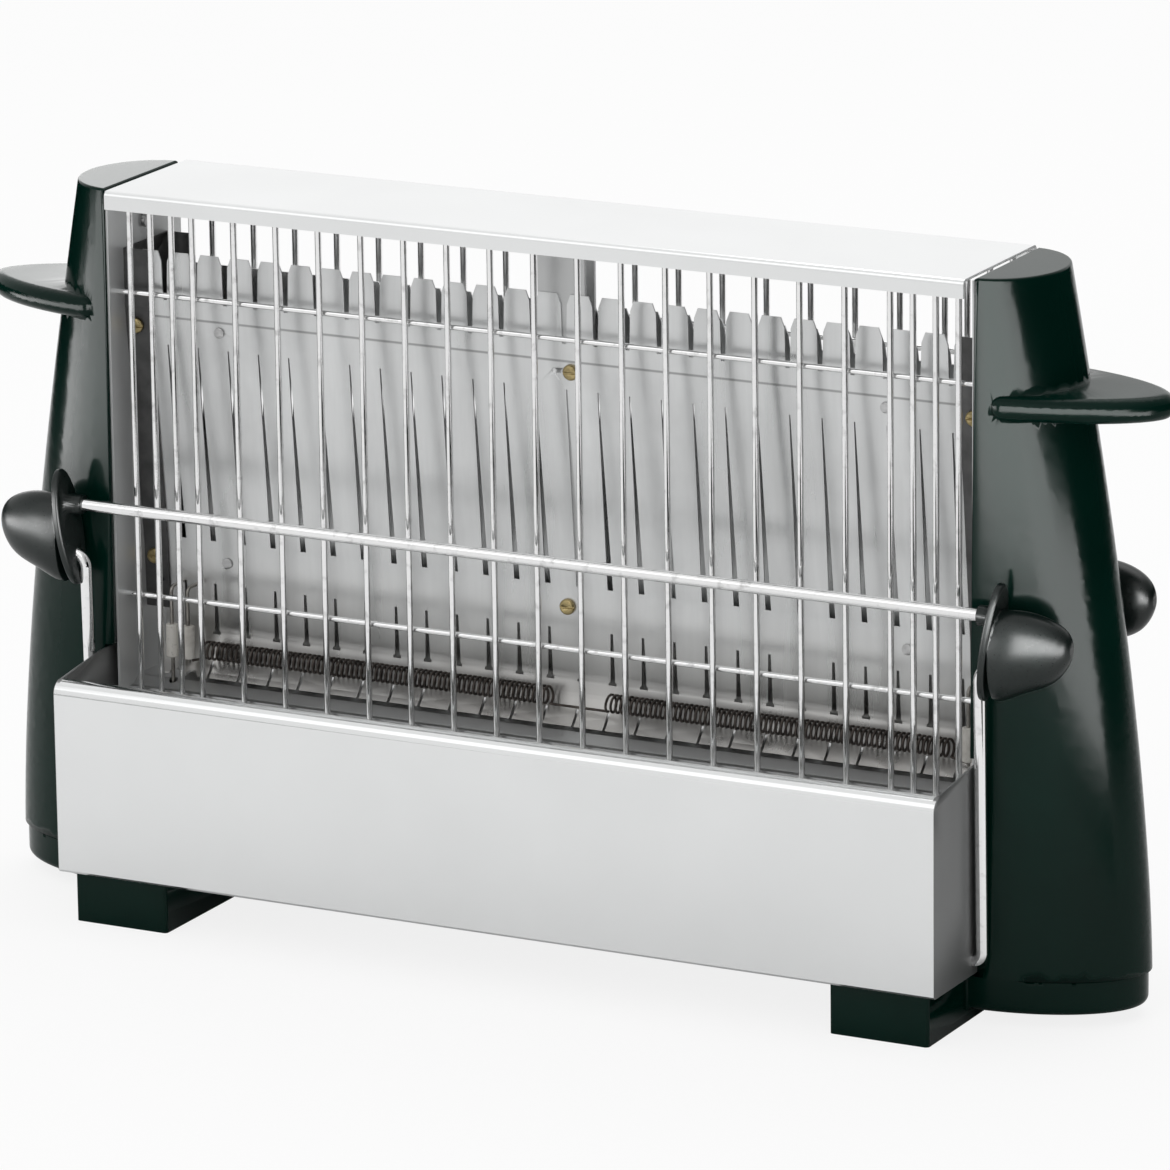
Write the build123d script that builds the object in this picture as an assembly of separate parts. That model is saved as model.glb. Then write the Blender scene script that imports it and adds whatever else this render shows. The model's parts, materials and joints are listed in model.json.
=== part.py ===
from build123d import *

import math
import os

# A two-sided vertical toaster: a central heater and folded reflectors between two fixed wire guards,
# a bright sheet trough on each long side, moulded end caps on moulded bases, and on each side a
# swinging wire holder with a finger knob at each end.
# Millimetres. X runs along the length, -Y is the front, +Z is up, and Z = 0 is the table.

# Driving dimensions
# How far a cutter stands off the faces it cuts, how far a long one reaches, and how far
# joined shapes run into each other
DRILL = 2.0
CUTTER_REACH = 40.0
LAP = 0.1

# Trough sheets
TROUGH_LENGTH = 300.0
TROUGH_HALF_DEPTH = 56.6
TROUGH_BOTTOM = 16.4
TROUGH_TOP = 77.8
SHEET = 0.8
ROLL_RADIUS = 4.2
SHELF_TOP = 66.0
SHELF_END = 13.0
SHELF_BEND = 1.6
BOTTOM_FLANGE = 12.0
SIDE_TOP = 80.8
SIDE_TOP_BREAK = 28.8
SIDE_END = 10.5

# Heater tray between the troughs, bottom plate and end plates
TRAY_LIP_Y = 16.8
TRAY_BEND_Y = 14.6
TRAY_FLAT_Y = 10.9
TRAY_TOP = 69.2
TRAY_MITRE = 0.3
LEAD_HOLE = 1.4
PLATE_MARGIN = 1.6
PLATE_INNER_X = 146.4
PLATE_HALF_WIDTH = 22.2
TAIL_HALF_WIDTH = 5.4

# Top cover
COVER_HALF_LENGTH = 145.2
COVER_HALF_DEPTH = 26.0
COVER_TOP = 227.0
COVER_LIP = 5.7
COVER_EDGE = 1.8

# End caps and their carry handles
CAP_REACH_BOTTOM = 47.0
CAP_REACH_TOP = 18.8
CAP_DEPTH_BOTTOM = 26.5
CAP_DEPTH_TOP = 22.6
CAP_SWEEP = 1.55
CAP_FULLNESS = 1.9
CAP_WALL = 2.6
CAP_STEP = 82.0
CAP_STEP_X = 150.1
HANDLE_HEIGHT = 188.7
HANDLE_THICKNESS = 7.6
HANDLE_REACH = 53.6
HANDLE_HALF_DEPTH = 24.8
HANDLE_FULLNESS = 1.75
HANDLE_EDGE = 3.4
HANDLE_START = 4.5
HANDLE_CORNER = 4.0
BOSS_RADIUS = 4.0
BOSS_LOW = 46.0
BOSS_DROP = 14.0
BOSS_SHANK = 8.0
BOSS_BORE = 9.0
CAP_EDGE = 0.8

# Bases
BASE_TOP = 14.8
BASE_CLEAR = 4.0
BASE_REACH = 45.8
BASE_HALF_DEPTH = 26.3
BASE_EDGE = 2.4
BASE_LAP = 6.0
FOOT_INNER_X = 113.9
FOOT_OUTER_X = 146.3
FOOT_SETBACK = 3.8
FOOT_EDGE = 1.2

# Wire guards
GUARD_PITCH = 14.8
GUARD_WIDE = 7
GUARD_CLOSE = 4
GUARD_Y = 19.0
GUARD_WIRE = 1.0
GUARD_CROSS = 0.9
GUARD_CROSS_HEIGHTS = (97.2, 193.8)
WELD = 0.15

# Reflectors
REFLECTOR_SHEET = 0.5
REFLECTOR_HALF_LENGTH = 140.0
COMB_TOP = 206.5
REAR_COMB_TOP = 197.6
COMB_FOLD = 188.3
COMB_Y = 12.5
LEAN_FOOT = 111.4
LEAN_Y = 4.6
CURVE_START = 86.0
CURVE_Y = 3.8
REFLECTOR_FOOT = 70.5
REFLECTOR_FOOT_Y = 10.5
FOOT_CUT_Y = 0.45
FOOT_CUT_Z = 0.25
COLUMNS = 26
COLUMN_PITCH = 10.7
COLUMN_SHIFT = 1.35
SLIT_TOP = 176.7
SLIT_FOOT = 113.4
SLIT_TOP_WIDTH = 0.4
SLIT_FOOT_WIDTH = 1.9
SHORT_TOP = 99.5
SHORT_FOOT = 83.0
SHORT_WIDTH = 1.7
SHORT_TOE = 2.7
SHORT_TOE_HEIGHT = 0.9
LOW_SLIT_TOP = 75.0
LOW_SLIT_WIDTH = 0.9
NOTCH_FOOT = 191.2
NOTCH_FOOT_WIDTH = 1.4
NOTCH_WIDTH = 2.1
NOTCH_CHAMFER = 1.2
NOTCH_CHAMFER_HEIGHT = 3.1

# Rails, hanger strap and their fasteners
RAIL_INNER_X = 138.0
RAIL_FOOT = 90.0
RAIL_SHEET = 0.8
STRAP_X = 5.6
STRAP_HALF_WIDTH = 8.0
REAR_STRAP_X = 1.3
REAR_STRAP_HALF_WIDTH = 3.7
STRAP_SHEET = 1.2
STRAP_FOOT = 101.0
SCREW_HIGH = 182.4
SCREW_LOW = 106.6
RAIL_SCREW_X = 142.6
MIDDLE_SCREW_HIGH_X = 8.6
MIDDLE_SCREW_LOW_X = 2.6
DIMPLE_X = 2.8
DIMPLE_RADIUS = 0.9
DIMPLE_DEPTH = 0.25
SCREW_RADIUS = 1.3
SCREW_HEAD = 2.5
SCREW_HEAD_HEIGHT = 1.4
SCREW_DOME = 0.84
SCREW_LENGTH = 2.4
SLOT_WIDTH = 0.7
SLOT_DEPTH = 0.6
RIVET_RADIUS = 0.9
RIVET_HEAD = 1.7
RIVET_HEAD_HEIGHT = 0.6
RIVET_PLACES = ((-113.6, 182.4), (-117.0, 106.6), (113.6, 182.4), (117.0, 106.6))

# Heating coils, ceramic beads and leads
COIL_Y = 9.8
COIL_Z = 79.4
COIL_RADIUS = 2.6
COIL_WIRE = 0.55
COIL_TURNS = 11.5
COIL_STRETCHES = ((-122.5, -1.0), (19.0, 134.0))
COIL_EXIT = 1.5
BEAD_RADIUS = 2.0
BEAD_EDGE = 0.5
BEAD_CLEARANCE = 0.4
BEAD_FOOT = 76.4
BEAD_TOP = 87.0
LEAD_Y = 11.3
LEAD_WIRE = 0.6
LEAD_BEND = 2.0
LEFT_LEAD_X = -127.8
RIGHT_LEAD_X = 140.2
SUPPLY_X = -133.6
LEAD_FOOT = 75.0
LEAD_CROSSING = 99.0
SUPPLY_CROSSING = 103.0
BLOCK_X = -108.0
BLOCK_LENGTH = 26.0
BLOCK_WIDTH = 16.0
BLOCK_HEIGHT = 12.0
BLOCK_EDGE = 1.5
TERMINAL_X = 7.0
TERMINAL_RADIUS = 2.2
TERMINAL_RECESS = 3.0
TERMINAL_HEIGHT = 2.4
BLOCK_ENTRY_Y = 4.0
BLOCK_ENTRY_RISE = 7.0
BLOCK_ENTRY_RUN = 4.0

# Swinging holders
PIVOT_Y = 28.7
PIVOT_Z = 20.7
PIVOT_END_X = 143.0
PIVOT_CLEARANCE = 0.08
HOLDER_WIRE = 1.9
HOLDER_LEAN = 2.3
LEG_X = 152.7
PIVOT_BEND = 2.6
LEG_BEND = 4.6
LEG_TURN_Z = 112.3
BAR_Z = 128.0
LOOP_X = 163.0
LOOP_BEND = 3.0

# Knobs
FLANGE_X = 157.6
FLANGE_Y = 32.2
FLANGE_Z = 120.7
FLANGE_TILT = 9.0
FLANGE_HALF_HEIGHT = 18.4
FLANGE_HALF_DEPTH = 7.0
FLANGE_THICKNESS = 2.4
FLANGE_EDGE = 0.9
KNOB_COLLAR = 3.1
KNOB_COLLAR_LENGTH = 2.7
KNOB_LAP = 2.0
# X, top and underside heights, half depth and distance of the grip's middle from the front of the cap
GRIP_STATIONS = (
    (158.6, 131.0, 103.2, 6.6, 32.2),
    (166.0, 131.1, 105.4, 7.3, 32.1),
    (172.0, 130.4, 107.8, 6.9, 31.7),
    (177.0, 128.6, 110.4, 5.7, 31.1),
    (180.6, 125.9, 114.6, 3.7, 30.5),
    (182.2, 122.6, 118.2, 1.3, 30.3),
)

# Cord gland in the bottom plate, and base screws
GLAND_X = -84.0
GLAND_RADIUS = 6.0
GLAND_NECK = 4.5
GLAND_BORE = 3.2
GLAND_OUTSIDE = 8.0
GLAND_INSIDE = 4.0
GLAND_EDGE = 2.0
BASE_SCREW_X = 130.0
BASE_SCREW_EDGE = 4.0
BASE_SCREW_RADIUS = 1.6
BASE_SCREW_HEAD = 3.2
BASE_SCREW_HEAD_Z = 1.0
BASE_SCREW_HEAD_HEIGHT = 2.2
BASE_SCREW_TIP = 21.0

# Values worked out from them
HALF_LENGTH = TROUGH_LENGTH / 2
PLATE_OUTER_X = PLATE_INNER_X + SHEET
COVER_UNDERSIDE = COVER_TOP - SHEET
BOSS_HEIGHTS = (BOSS_LOW, COVER_TOP - BOSS_DROP)
FOOT_HALF_DEPTH = TROUGH_HALF_DEPTH - FOOT_SETBACK
BASE_SCREW_Y = FOOT_HALF_DEPTH - BASE_SCREW_EDGE
FLOOR_TOP = TROUGH_BOTTOM + 2 * SHEET
CROSS_Y = GUARD_Y - GUARD_WIRE - GUARD_CROSS + WELD
RAIL_SCREWS = (
    (-RAIL_SCREW_X, SCREW_HIGH),
    (-RAIL_SCREW_X, SCREW_LOW),
    (RAIL_SCREW_X, SCREW_HIGH),
    (RAIL_SCREW_X, SCREW_LOW),
)
MIDDLE_SCREWS = ((MIDDLE_SCREW_HIGH_X, SCREW_HIGH), (MIDDLE_SCREW_LOW_X, SCREW_LOW))
REAR_MIDDLE_SCREWS = ((REAR_STRAP_X, SCREW_HIGH), (REAR_STRAP_X, SCREW_LOW))
LEADS_X = (SUPPLY_X, LEFT_LEAD_X, RIGHT_LEAD_X)


# Shared shapes
def half_oval(height, reach, half_depth, fullness, start_x=PLATE_OUTER_X, steps=8):
    """A level face: a half oval that stands on a straight chord at start_x."""
    quarter = [(0.0, half_depth)]
    for i in range(1, steps):
        angle = math.pi / 2 * i / steps
        x = reach * math.sin(angle) ** (2 / fullness)
        quarter.append((x, half_depth * math.cos(angle) ** (2 / fullness)))
    points = quarter + [(reach, 0.0)] + [(x, -y) for x, y in reversed(quarter)]
    points = [(start_x + x, y, height) for x, y in points]
    return make_face([Spline(*points), Line(points[-1], points[0])])


def rod(start, end, radius):
    """A straight round rod."""
    line = Vector(*end) - Vector(*start)
    return extrude(Plane(start, z_dir=line) * Circle(radius), line.length)


def bent_rod(points, radius, bend):
    """A round rod along a line of points with rounded corners."""
    path = FilletPolyline(*points, radius=bend)
    return sweep(Plane(path @ 0, z_dir=path % 0) * Circle(radius), path=path)


def along_x(profile, start_x, length):
    """A profile that lies in the YZ plane, stretched along X from start_x."""
    solid = extrude(profile, length, dir=(1, 0, 0))
    return Pos(start_x, 0, 0) * solid


def yz_face(points):
    """A flat face in the YZ plane from (y, z) points."""
    return make_face(Polyline(*[(0, y, z) for y, z in points], close=True))


def xz_cut(points):
    """A cutter from (x, z) points that reaches forwards from the middle plane."""
    face = make_face(Polyline(*[(x, 0, z) for x, z in points], close=True))
    return extrude(face, CUTTER_REACH, dir=(0, -1, 0))


def rear_of(shape):
    """The same piece for the rear side."""
    return mirror(shape, about=Plane.XZ)


def left_of(shape):
    """The same piece for the left end."""
    return mirror(shape, about=Plane.YZ)


# Sheet metal
def make_trough():
    """Front trough, one bent sheet: bottom flange, wall, rolled edge, bread shelf and two end walls."""
    y0 = -TROUGH_HALF_DEPTH
    roll_y = y0 + ROLL_RADIUS
    roll_z = TROUGH_TOP - ROLL_RADIUS
    wall_y = y0 + 2 * ROLL_RADIUS
    back_y = wall_y - SHEET
    inner_roll = ROLL_RADIUS - SHEET
    bend = SHELF_BEND
    under = bend + SHEET
    shelf_foot = SHELF_TOP - SHEET
    flange_top = TROUGH_BOTTOM + SHEET
    lines = [
        Line((0, y0 + BOTTOM_FLANGE, TROUGH_BOTTOM), (0, y0 + SHEET, TROUGH_BOTTOM)),
        Line((0, y0 + SHEET, TROUGH_BOTTOM), (0, y0, flange_top)),
        Line((0, y0, flange_top), (0, y0, roll_z)),
        ThreePointArc((0, y0, roll_z), (0, roll_y, TROUGH_TOP), (0, wall_y, roll_z)),
        Line((0, wall_y, roll_z), (0, wall_y, SHELF_TOP + bend)),
        TangentArc((0, wall_y, SHELF_TOP + bend), (0, wall_y + bend, SHELF_TOP), tangent=(0, 0, -1)),
        Line((0, wall_y + bend, SHELF_TOP), (0, -SHELF_END, SHELF_TOP)),
        Line((0, -SHELF_END, SHELF_TOP), (0, -SHELF_END, shelf_foot)),
        Line((0, -SHELF_END, shelf_foot), (0, wall_y + bend, shelf_foot)),
        TangentArc((0, wall_y + bend, shelf_foot), (0, back_y, shelf_foot + under), tangent=(0, -1, 0)),
        Line((0, back_y, shelf_foot + under), (0, back_y, roll_z)),
        ThreePointArc((0, back_y, roll_z), (0, roll_y, roll_z + inner_roll), (0, y0 + SHEET, roll_z)),
        Line((0, y0 + SHEET, roll_z), (0, y0 + SHEET, flange_top)),
        Line((0, y0 + SHEET, flange_top), (0, y0 + BOTTOM_FLANGE, flange_top)),
        Line((0, y0 + BOTTOM_FLANGE, flange_top), (0, y0 + BOTTOM_FLANGE, TROUGH_BOTTOM)),
    ]
    trough = along_x(make_face(lines), -HALF_LENGTH, TROUGH_LENGTH)

    # The end walls' top edge climbs from the rolled edge towards the middle.
    slant = ROLL_RADIUS * math.sqrt(0.5)
    end_lines = [
        Line((0, -SIDE_END, TROUGH_BOTTOM), (0, y0 + SHEET, TROUGH_BOTTOM)),
        Line((0, y0 + SHEET, TROUGH_BOTTOM), (0, y0, flange_top)),
        Line((0, y0, flange_top), (0, y0, roll_z)),
        ThreePointArc((0, y0, roll_z), (0, roll_y - slant, roll_z + slant), (0, roll_y, TROUGH_TOP)),
        Line((0, roll_y, TROUGH_TOP), (0, -SIDE_TOP_BREAK, SIDE_TOP)),
        Line((0, -SIDE_TOP_BREAK, SIDE_TOP), (0, -SIDE_END, SIDE_TOP)),
        Line((0, -SIDE_END, SIDE_TOP), (0, -SIDE_END, TROUGH_BOTTOM)),
    ]
    wall = along_x(make_face(end_lines), HALF_LENGTH - SHEET, SHEET)
    trough += wall + left_of(wall)
    for side in (-1, 1):
        start = (side * (HALF_LENGTH - SHEET - DRILL), -PIVOT_Y, PIVOT_Z)
        end = (side * (HALF_LENGTH + DRILL), -PIVOT_Y, PIVOT_Z)
        trough -= rod(start, end, HOLDER_WIRE + PIVOT_CLEARANCE)
        x = side * BASE_SCREW_X
        start = (x, -BASE_SCREW_Y, TROUGH_BOTTOM - DRILL)
        trough -= rod(start, (x, -BASE_SCREW_Y, FLOOR_TOP), BASE_SCREW_RADIUS)
    return trough


def make_bottom_plate():
    """The flat plate that closes the wiring space and lies on the flanges of both troughs."""
    size_x = 2 * (HALF_LENGTH - PLATE_MARGIN)
    size_y = 2 * (TROUGH_HALF_DEPTH - PLATE_MARGIN)
    plate = Pos(0, 0, FLOOR_TOP - SHEET / 2) * Box(size_x, size_y, SHEET)
    for x in (-BASE_SCREW_X, BASE_SCREW_X):
        for y in (-BASE_SCREW_Y, BASE_SCREW_Y):
            plate -= rod((x, y, TROUGH_BOTTOM), (x, y, FLOOR_TOP + DRILL), BASE_SCREW_RADIUS)
    plate -= rod((GLAND_X, 0, TROUGH_BOTTOM), (GLAND_X, 0, FLOOR_TOP + DRILL), GLAND_NECK)
    return plate


def make_tray():
    """The raised strip between the two bread shelves, whose lips lap over the shelves."""
    top = [
        (-TRAY_LIP_Y, SHELF_TOP + SHEET),
        (-TRAY_BEND_Y, SHELF_TOP + SHEET),
        (-TRAY_FLAT_Y, TRAY_TOP),
        (TRAY_FLAT_Y, TRAY_TOP),
        (TRAY_BEND_Y, SHELF_TOP + SHEET),
        (TRAY_LIP_Y, SHELF_TOP + SHEET),
    ]
    under = [
        (TRAY_LIP_Y, SHELF_TOP),
        (TRAY_BEND_Y - TRAY_MITRE, SHELF_TOP),
        (TRAY_FLAT_Y - TRAY_MITRE, TRAY_TOP - SHEET),
        (TRAY_MITRE - TRAY_FLAT_Y, TRAY_TOP - SHEET),
        (TRAY_MITRE - TRAY_BEND_Y, SHELF_TOP),
        (-TRAY_LIP_Y, SHELF_TOP),
    ]
    tray = along_x(yz_face(top + under), -PLATE_INNER_X, 2 * PLATE_INNER_X)
    for y in (-LEAD_Y, LEAD_Y):
        tray -= rod((SUPPLY_X, y, SHELF_TOP - DRILL), (SUPPLY_X, y, TRAY_TOP + DRILL), LEAD_HOLE)
    return tray


def make_end_plate():
    """Right end plate: wide above the shelves, with a tail down to the bottom plate."""
    outline = [
        (-PLATE_HALF_WIDTH, SHELF_TOP),
        (-PLATE_HALF_WIDTH, COVER_UNDERSIDE),
        (PLATE_HALF_WIDTH, COVER_UNDERSIDE),
        (PLATE_HALF_WIDTH, SHELF_TOP),
        (TAIL_HALF_WIDTH, SHELF_TOP),
        (TAIL_HALF_WIDTH, FLOOR_TOP),
        (-TAIL_HALF_WIDTH, FLOOR_TOP),
        (-TAIL_HALF_WIDTH, SHELF_TOP),
    ]
    plate = along_x(yz_face(outline), PLATE_INNER_X, SHEET)
    for z in GUARD_CROSS_HEIGHTS:
        for y in (-CROSS_Y, CROSS_Y):
            plate -= rod((PLATE_INNER_X - DRILL, y, z), (PLATE_OUTER_X + DRILL, y, z), GUARD_CROSS)
    for z in BOSS_HEIGHTS:
        plate -= rod((PLATE_INNER_X - DRILL, 0, z), (PLATE_OUTER_X + DRILL, 0, z), SCREW_RADIUS)
    return plate


def make_cover():
    """The bright top cover: a shallow tray with its lip turned down on the long sides."""
    block = Pos(0, 0, COVER_TOP - COVER_LIP / 2) * Box(2 * COVER_HALF_LENGTH, 2 * COVER_HALF_DEPTH, COVER_LIP)
    block = fillet(block.edges().filter_by(Axis.X).group_by(Axis.Z)[-1], COVER_EDGE)
    hollow = Pos(0, 0, COVER_UNDERSIDE - COVER_LIP / 2) * Box(
        2 * COVER_HALF_LENGTH + 2, 2 * (COVER_HALF_DEPTH - SHEET), COVER_LIP
    )
    hollow = fillet(hollow.edges().filter_by(Axis.X).group_by(Axis.Z)[-1], COVER_EDGE - SHEET)
    return block - hollow


# Mouldings
def cap_body(bottom, top, inset=0.0):
    """The tapering half-oval body of the right cap between two heights, drawn in by inset."""
    faces = []
    for i in range(6):
        z = bottom + (top - bottom) * i / 5
        share = (z - BASE_TOP) / (COVER_TOP - BASE_TOP)
        reach = CAP_REACH_BOTTOM - (CAP_REACH_BOTTOM - CAP_REACH_TOP) * share**CAP_SWEEP
        depth = CAP_DEPTH_BOTTOM - (CAP_DEPTH_BOTTOM - CAP_DEPTH_TOP) * share
        faces.append(half_oval(z, reach - inset, depth - inset, CAP_FULLNESS))
    return loft(faces)


def make_cap():
    """Right end cap: a hollow tapering moulding with its oval carry handle and two screw bosses."""
    outside = cap_body(BASE_TOP, COVER_TOP)
    rim = [e for e in outside.edges().group_by(Axis.Z)[-1] if e.geom_type != GeomType.LINE]
    outside = fillet(rim, CAP_EDGE)
    inside = cap_body(BASE_TOP + CAP_WALL, COVER_TOP - CAP_WALL, CAP_WALL)
    handle_foot = HANDLE_HEIGHT - HANDLE_THICKNESS / 2
    outline = half_oval(handle_foot, HANDLE_REACH, HANDLE_HALF_DEPTH, HANDLE_FULLNESS)
    outline -= Pos(PLATE_OUTER_X, 0, handle_foot) * Rectangle(2 * HANDLE_START, 4 * HANDLE_HALF_DEPTH)
    outline = fillet(outline.vertices().group_by(Axis.X)[0], HANDLE_CORNER)
    handle = extrude(outline, HANDLE_THICKNESS, dir=(0, 0, 1))
    rim = handle.edges().group_by(Axis.Z)[0] + handle.edges().group_by(Axis.Z)[-1]
    handle = fillet(rim, HANDLE_EDGE)
    cap = outside + handle - inside
    for z in BOSS_HEIGHTS:
        boss = rod((PLATE_OUTER_X, 0, z), (PLATE_OUTER_X + CAP_REACH_BOTTOM, 0, z), BOSS_RADIUS)
        cap += boss & outside
        cap -= rod((PLATE_OUTER_X - DRILL, 0, z), (PLATE_OUTER_X + BOSS_BORE, 0, z), SCREW_RADIUS)

    # Below the troughs' top edge the cap stands outside their end walls.
    step_x = CAP_STEP_X - PLATE_OUTER_X
    middle_x = PLATE_OUTER_X + step_x / 2
    low = Pos(middle_x, 0, (BASE_TOP + CAP_STEP) / 2) * Box(step_x, 4 * CAP_DEPTH_BOTTOM, CAP_STEP - BASE_TOP)
    kept = Pos(middle_x, 0, BOSS_HEIGHTS[0]) * Box(step_x, 2 * BOSS_RADIUS, 2 * BOSS_RADIUS)
    return cap - (low - kept)


def make_base():
    """Right base: a foot bar across the toaster and the half oval that carries the cap."""
    width = FOOT_OUTER_X - FOOT_INNER_X
    bar = Pos((FOOT_INNER_X + FOOT_OUTER_X) / 2, 0, TROUGH_BOTTOM / 2)
    bar = bar * Box(width, 2 * FOOT_HALF_DEPTH, TROUGH_BOTTOM)
    bar = fillet(bar.edges().filter_by(Axis.Z), FOOT_EDGE)
    oval = half_oval(BASE_CLEAR, BASE_REACH, BASE_HALF_DEPTH, CAP_FULLNESS)
    oval = extrude(oval, BASE_TOP - BASE_CLEAR, dir=(0, 0, 1))
    rim = [e for e in oval.edges().group_by(Axis.Z)[0] if e.geom_type != GeomType.LINE]
    oval = fillet(rim, BASE_EDGE)
    joint_x = FOOT_OUTER_X - BASE_LAP
    bridge = Pos((joint_x + PLATE_OUTER_X) / 2, 0, (BASE_CLEAR + BASE_TOP) / 2)
    bridge = bridge * Box(PLATE_OUTER_X - joint_x, 2 * BASE_HALF_DEPTH, BASE_TOP - BASE_CLEAR)
    base = bar + bridge + oval
    for y in (-BASE_SCREW_Y, BASE_SCREW_Y):
        shaft_top = BASE_SCREW_HEAD_Z + BASE_SCREW_HEAD_HEIGHT
        base -= rod((BASE_SCREW_X, y, -DRILL), (BASE_SCREW_X, y, shaft_top), BASE_SCREW_HEAD)
        base -= rod((BASE_SCREW_X, y, -DRILL), (BASE_SCREW_X, y, BASE_SCREW_TIP), BASE_SCREW_RADIUS)
    return base


# Guards, reflectors and what carries them
def guard_places():
    """X of every upright wire: wide spacing in the middle and close spacing near both ends."""
    places = [i * GUARD_PITCH for i in range(-GUARD_WIDE, GUARD_WIDE + 1)]
    first_close = (GUARD_WIDE + 1) * GUARD_PITCH
    for i in range(GUARD_CLOSE):
        x = first_close + i * GUARD_PITCH / 2
        places += [-x, x]
    return sorted(places)


def make_guard():
    """Front wire guard: upright wires welded to two cross wires behind them."""
    uprights = [
        rod((x, -GUARD_Y, SHELF_TOP), (x, -GUARD_Y, COVER_UNDERSIDE), GUARD_WIRE) for x in guard_places()
    ]
    end = PLATE_OUTER_X
    crosses = [rod((-end, -CROSS_Y, z), (end, -CROSS_Y, z), GUARD_CROSS) for z in GUARD_CROSS_HEIGHTS]
    return crosses[0] + crosses[1:] + uprights


def face_y(z):
    """Distance of the reflector's visible face from the middle plane at a height above its curved foot."""
    if z >= COMB_FOLD:
        return COMB_Y
    if z >= LEAN_FOOT:
        return LEAN_Y + (COMB_Y - LEAN_Y) * (z - LEAN_FOOT) / (COMB_FOLD - LEAN_FOOT)
    return CURVE_Y + (LEAN_Y - CURVE_Y) * (z - CURVE_START) / (LEAN_FOOT - CURVE_START)


def on_face(x, z):
    """Place on the front reflector's face, with -Y of the place pointing squarely out of the sheet."""
    slope = (face_y(z + 1) - face_y(z - 1)) / 2
    return Pos(x, -face_y(z), z) * Rot(math.degrees(math.atan(slope)), 0, 0)


def face_rod(x, z, near, far, radius):
    """A round rod square to the front reflector's face, between two distances behind it."""
    centre = Pos(0, (near + far) / 2, 0) * Rot(90, 0, 0)
    return on_face(x, z) * centre * Cylinder(radius, far - near)


def folded_strip(heights, near, far, start_x, width):
    """A strip that follows the front reflector's folds, between two distances behind its face."""
    front = [(-face_y(z) + near, z) for z in heights]
    back = [(-face_y(z) + far, z) for z in reversed(heights)]
    return along_x(yz_face(front + back), start_x, width)


def make_reflector(comb_top, middle_screws):
    """Front reflector: one folded sheet with a comb on top, long and short slits and a curved foot."""
    folds = [(0, -face_y(z), z) for z in (comb_top, COMB_FOLD, LEAN_FOOT, CURVE_START)]
    t = REFLECTOR_SHEET
    inner_folds = [(x, y + t, z) for x, y, z in folds]
    foot = (0, -REFLECTOR_FOOT_Y, REFLECTOR_FOOT)
    inner_foot = (0, FOOT_CUT_Y - REFLECTOR_FOOT_Y, REFLECTOR_FOOT - FOOT_CUT_Z)
    lines = [Line(a, b) for a, b in zip(folds, folds[1:])]
    lines.append(TangentArc(folds[-1], foot, tangent=(0, 0, -1)))
    lines.append(Line(foot, inner_foot))
    lines += [Line(a, b) for a, b in zip(inner_folds, inner_folds[1:])]
    lines.append(TangentArc(inner_folds[-1], inner_foot, tangent=(0, 0, -1)))
    lines.append(Line(folds[0], inner_folds[0]))
    sheet = along_x(make_face(lines), -REFLECTOR_HALF_LENGTH, 2 * REFLECTOR_HALF_LENGTH)

    cuts = []
    first = COLUMN_SHIFT - COLUMN_PITCH * (COLUMNS - 1) / 2
    for i in range(COLUMNS):
        x = first + i * COLUMN_PITCH
        cuts += slit_column(x, comb_top)
    for x in LEADS_X:
        foot = (x, -LEAD_Y, REFLECTOR_FOOT - 2 * DRILL)
        cuts.append(rod(foot, (x, -LEAD_Y, BEAD_FOOT), BEAD_RADIUS + BEAD_CLEARANCE))
        cuts.append(rod((x, 0, LEAD_CROSSING), (x, -CUTTER_REACH, LEAD_CROSSING), LEAD_WIRE))
    cuts.append(rod((SUPPLY_X, 0, SUPPLY_CROSSING), (SUPPLY_X, -CUTTER_REACH, SUPPLY_CROSSING), LEAD_WIRE))
    for x, z in middle_screws:
        cuts.append(face_rod(x, z, -DRILL, DRILL, SCREW_RADIUS))
    for x, z in RIVET_PLACES:
        cuts.append(face_rod(x, z, -DRILL, DRILL, RIVET_RADIUS))
    return sheet - cuts


def slit_column(x, comb_top):
    """Cutters of one column: comb notch, long slit, short slit with its toe, and foot slit."""
    mouth = NOTCH_WIDTH / 2 + NOTCH_CHAMFER
    chamfer_foot = comb_top - NOTCH_CHAMFER_HEIGHT
    notch = [
        (x - NOTCH_FOOT_WIDTH / 2, NOTCH_FOOT),
        (x + NOTCH_FOOT_WIDTH / 2, NOTCH_FOOT),
        (x + NOTCH_WIDTH / 2, chamfer_foot),
        (x + mouth, comb_top),
        (x + mouth, comb_top + DRILL),
        (x - mouth, comb_top + DRILL),
        (x - mouth, comb_top),
        (x - NOTCH_WIDTH / 2, chamfer_foot),
    ]
    cuts = [xz_cut(notch)]
    slits = (
        (SLIT_TOP, SLIT_TOP_WIDTH, SLIT_FOOT, SLIT_FOOT_WIDTH),
        (SHORT_TOP, SHORT_WIDTH / 2, SHORT_FOOT, SHORT_WIDTH),
        (SHORT_FOOT + SHORT_TOE_HEIGHT, SHORT_TOE, SHORT_FOOT, SHORT_TOE),
        (LOW_SLIT_TOP, LOW_SLIT_WIDTH, REFLECTOR_FOOT - 2 * DRILL, LOW_SLIT_WIDTH),
    )
    for top, top_width, foot, foot_width in slits:
        outline = [
            (x - top_width / 2, top),
            (x + top_width / 2, top),
            (x + foot_width / 2, foot),
            (x - foot_width / 2, foot),
        ]
        cuts.append(xz_cut(outline))
    return cuts


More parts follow.
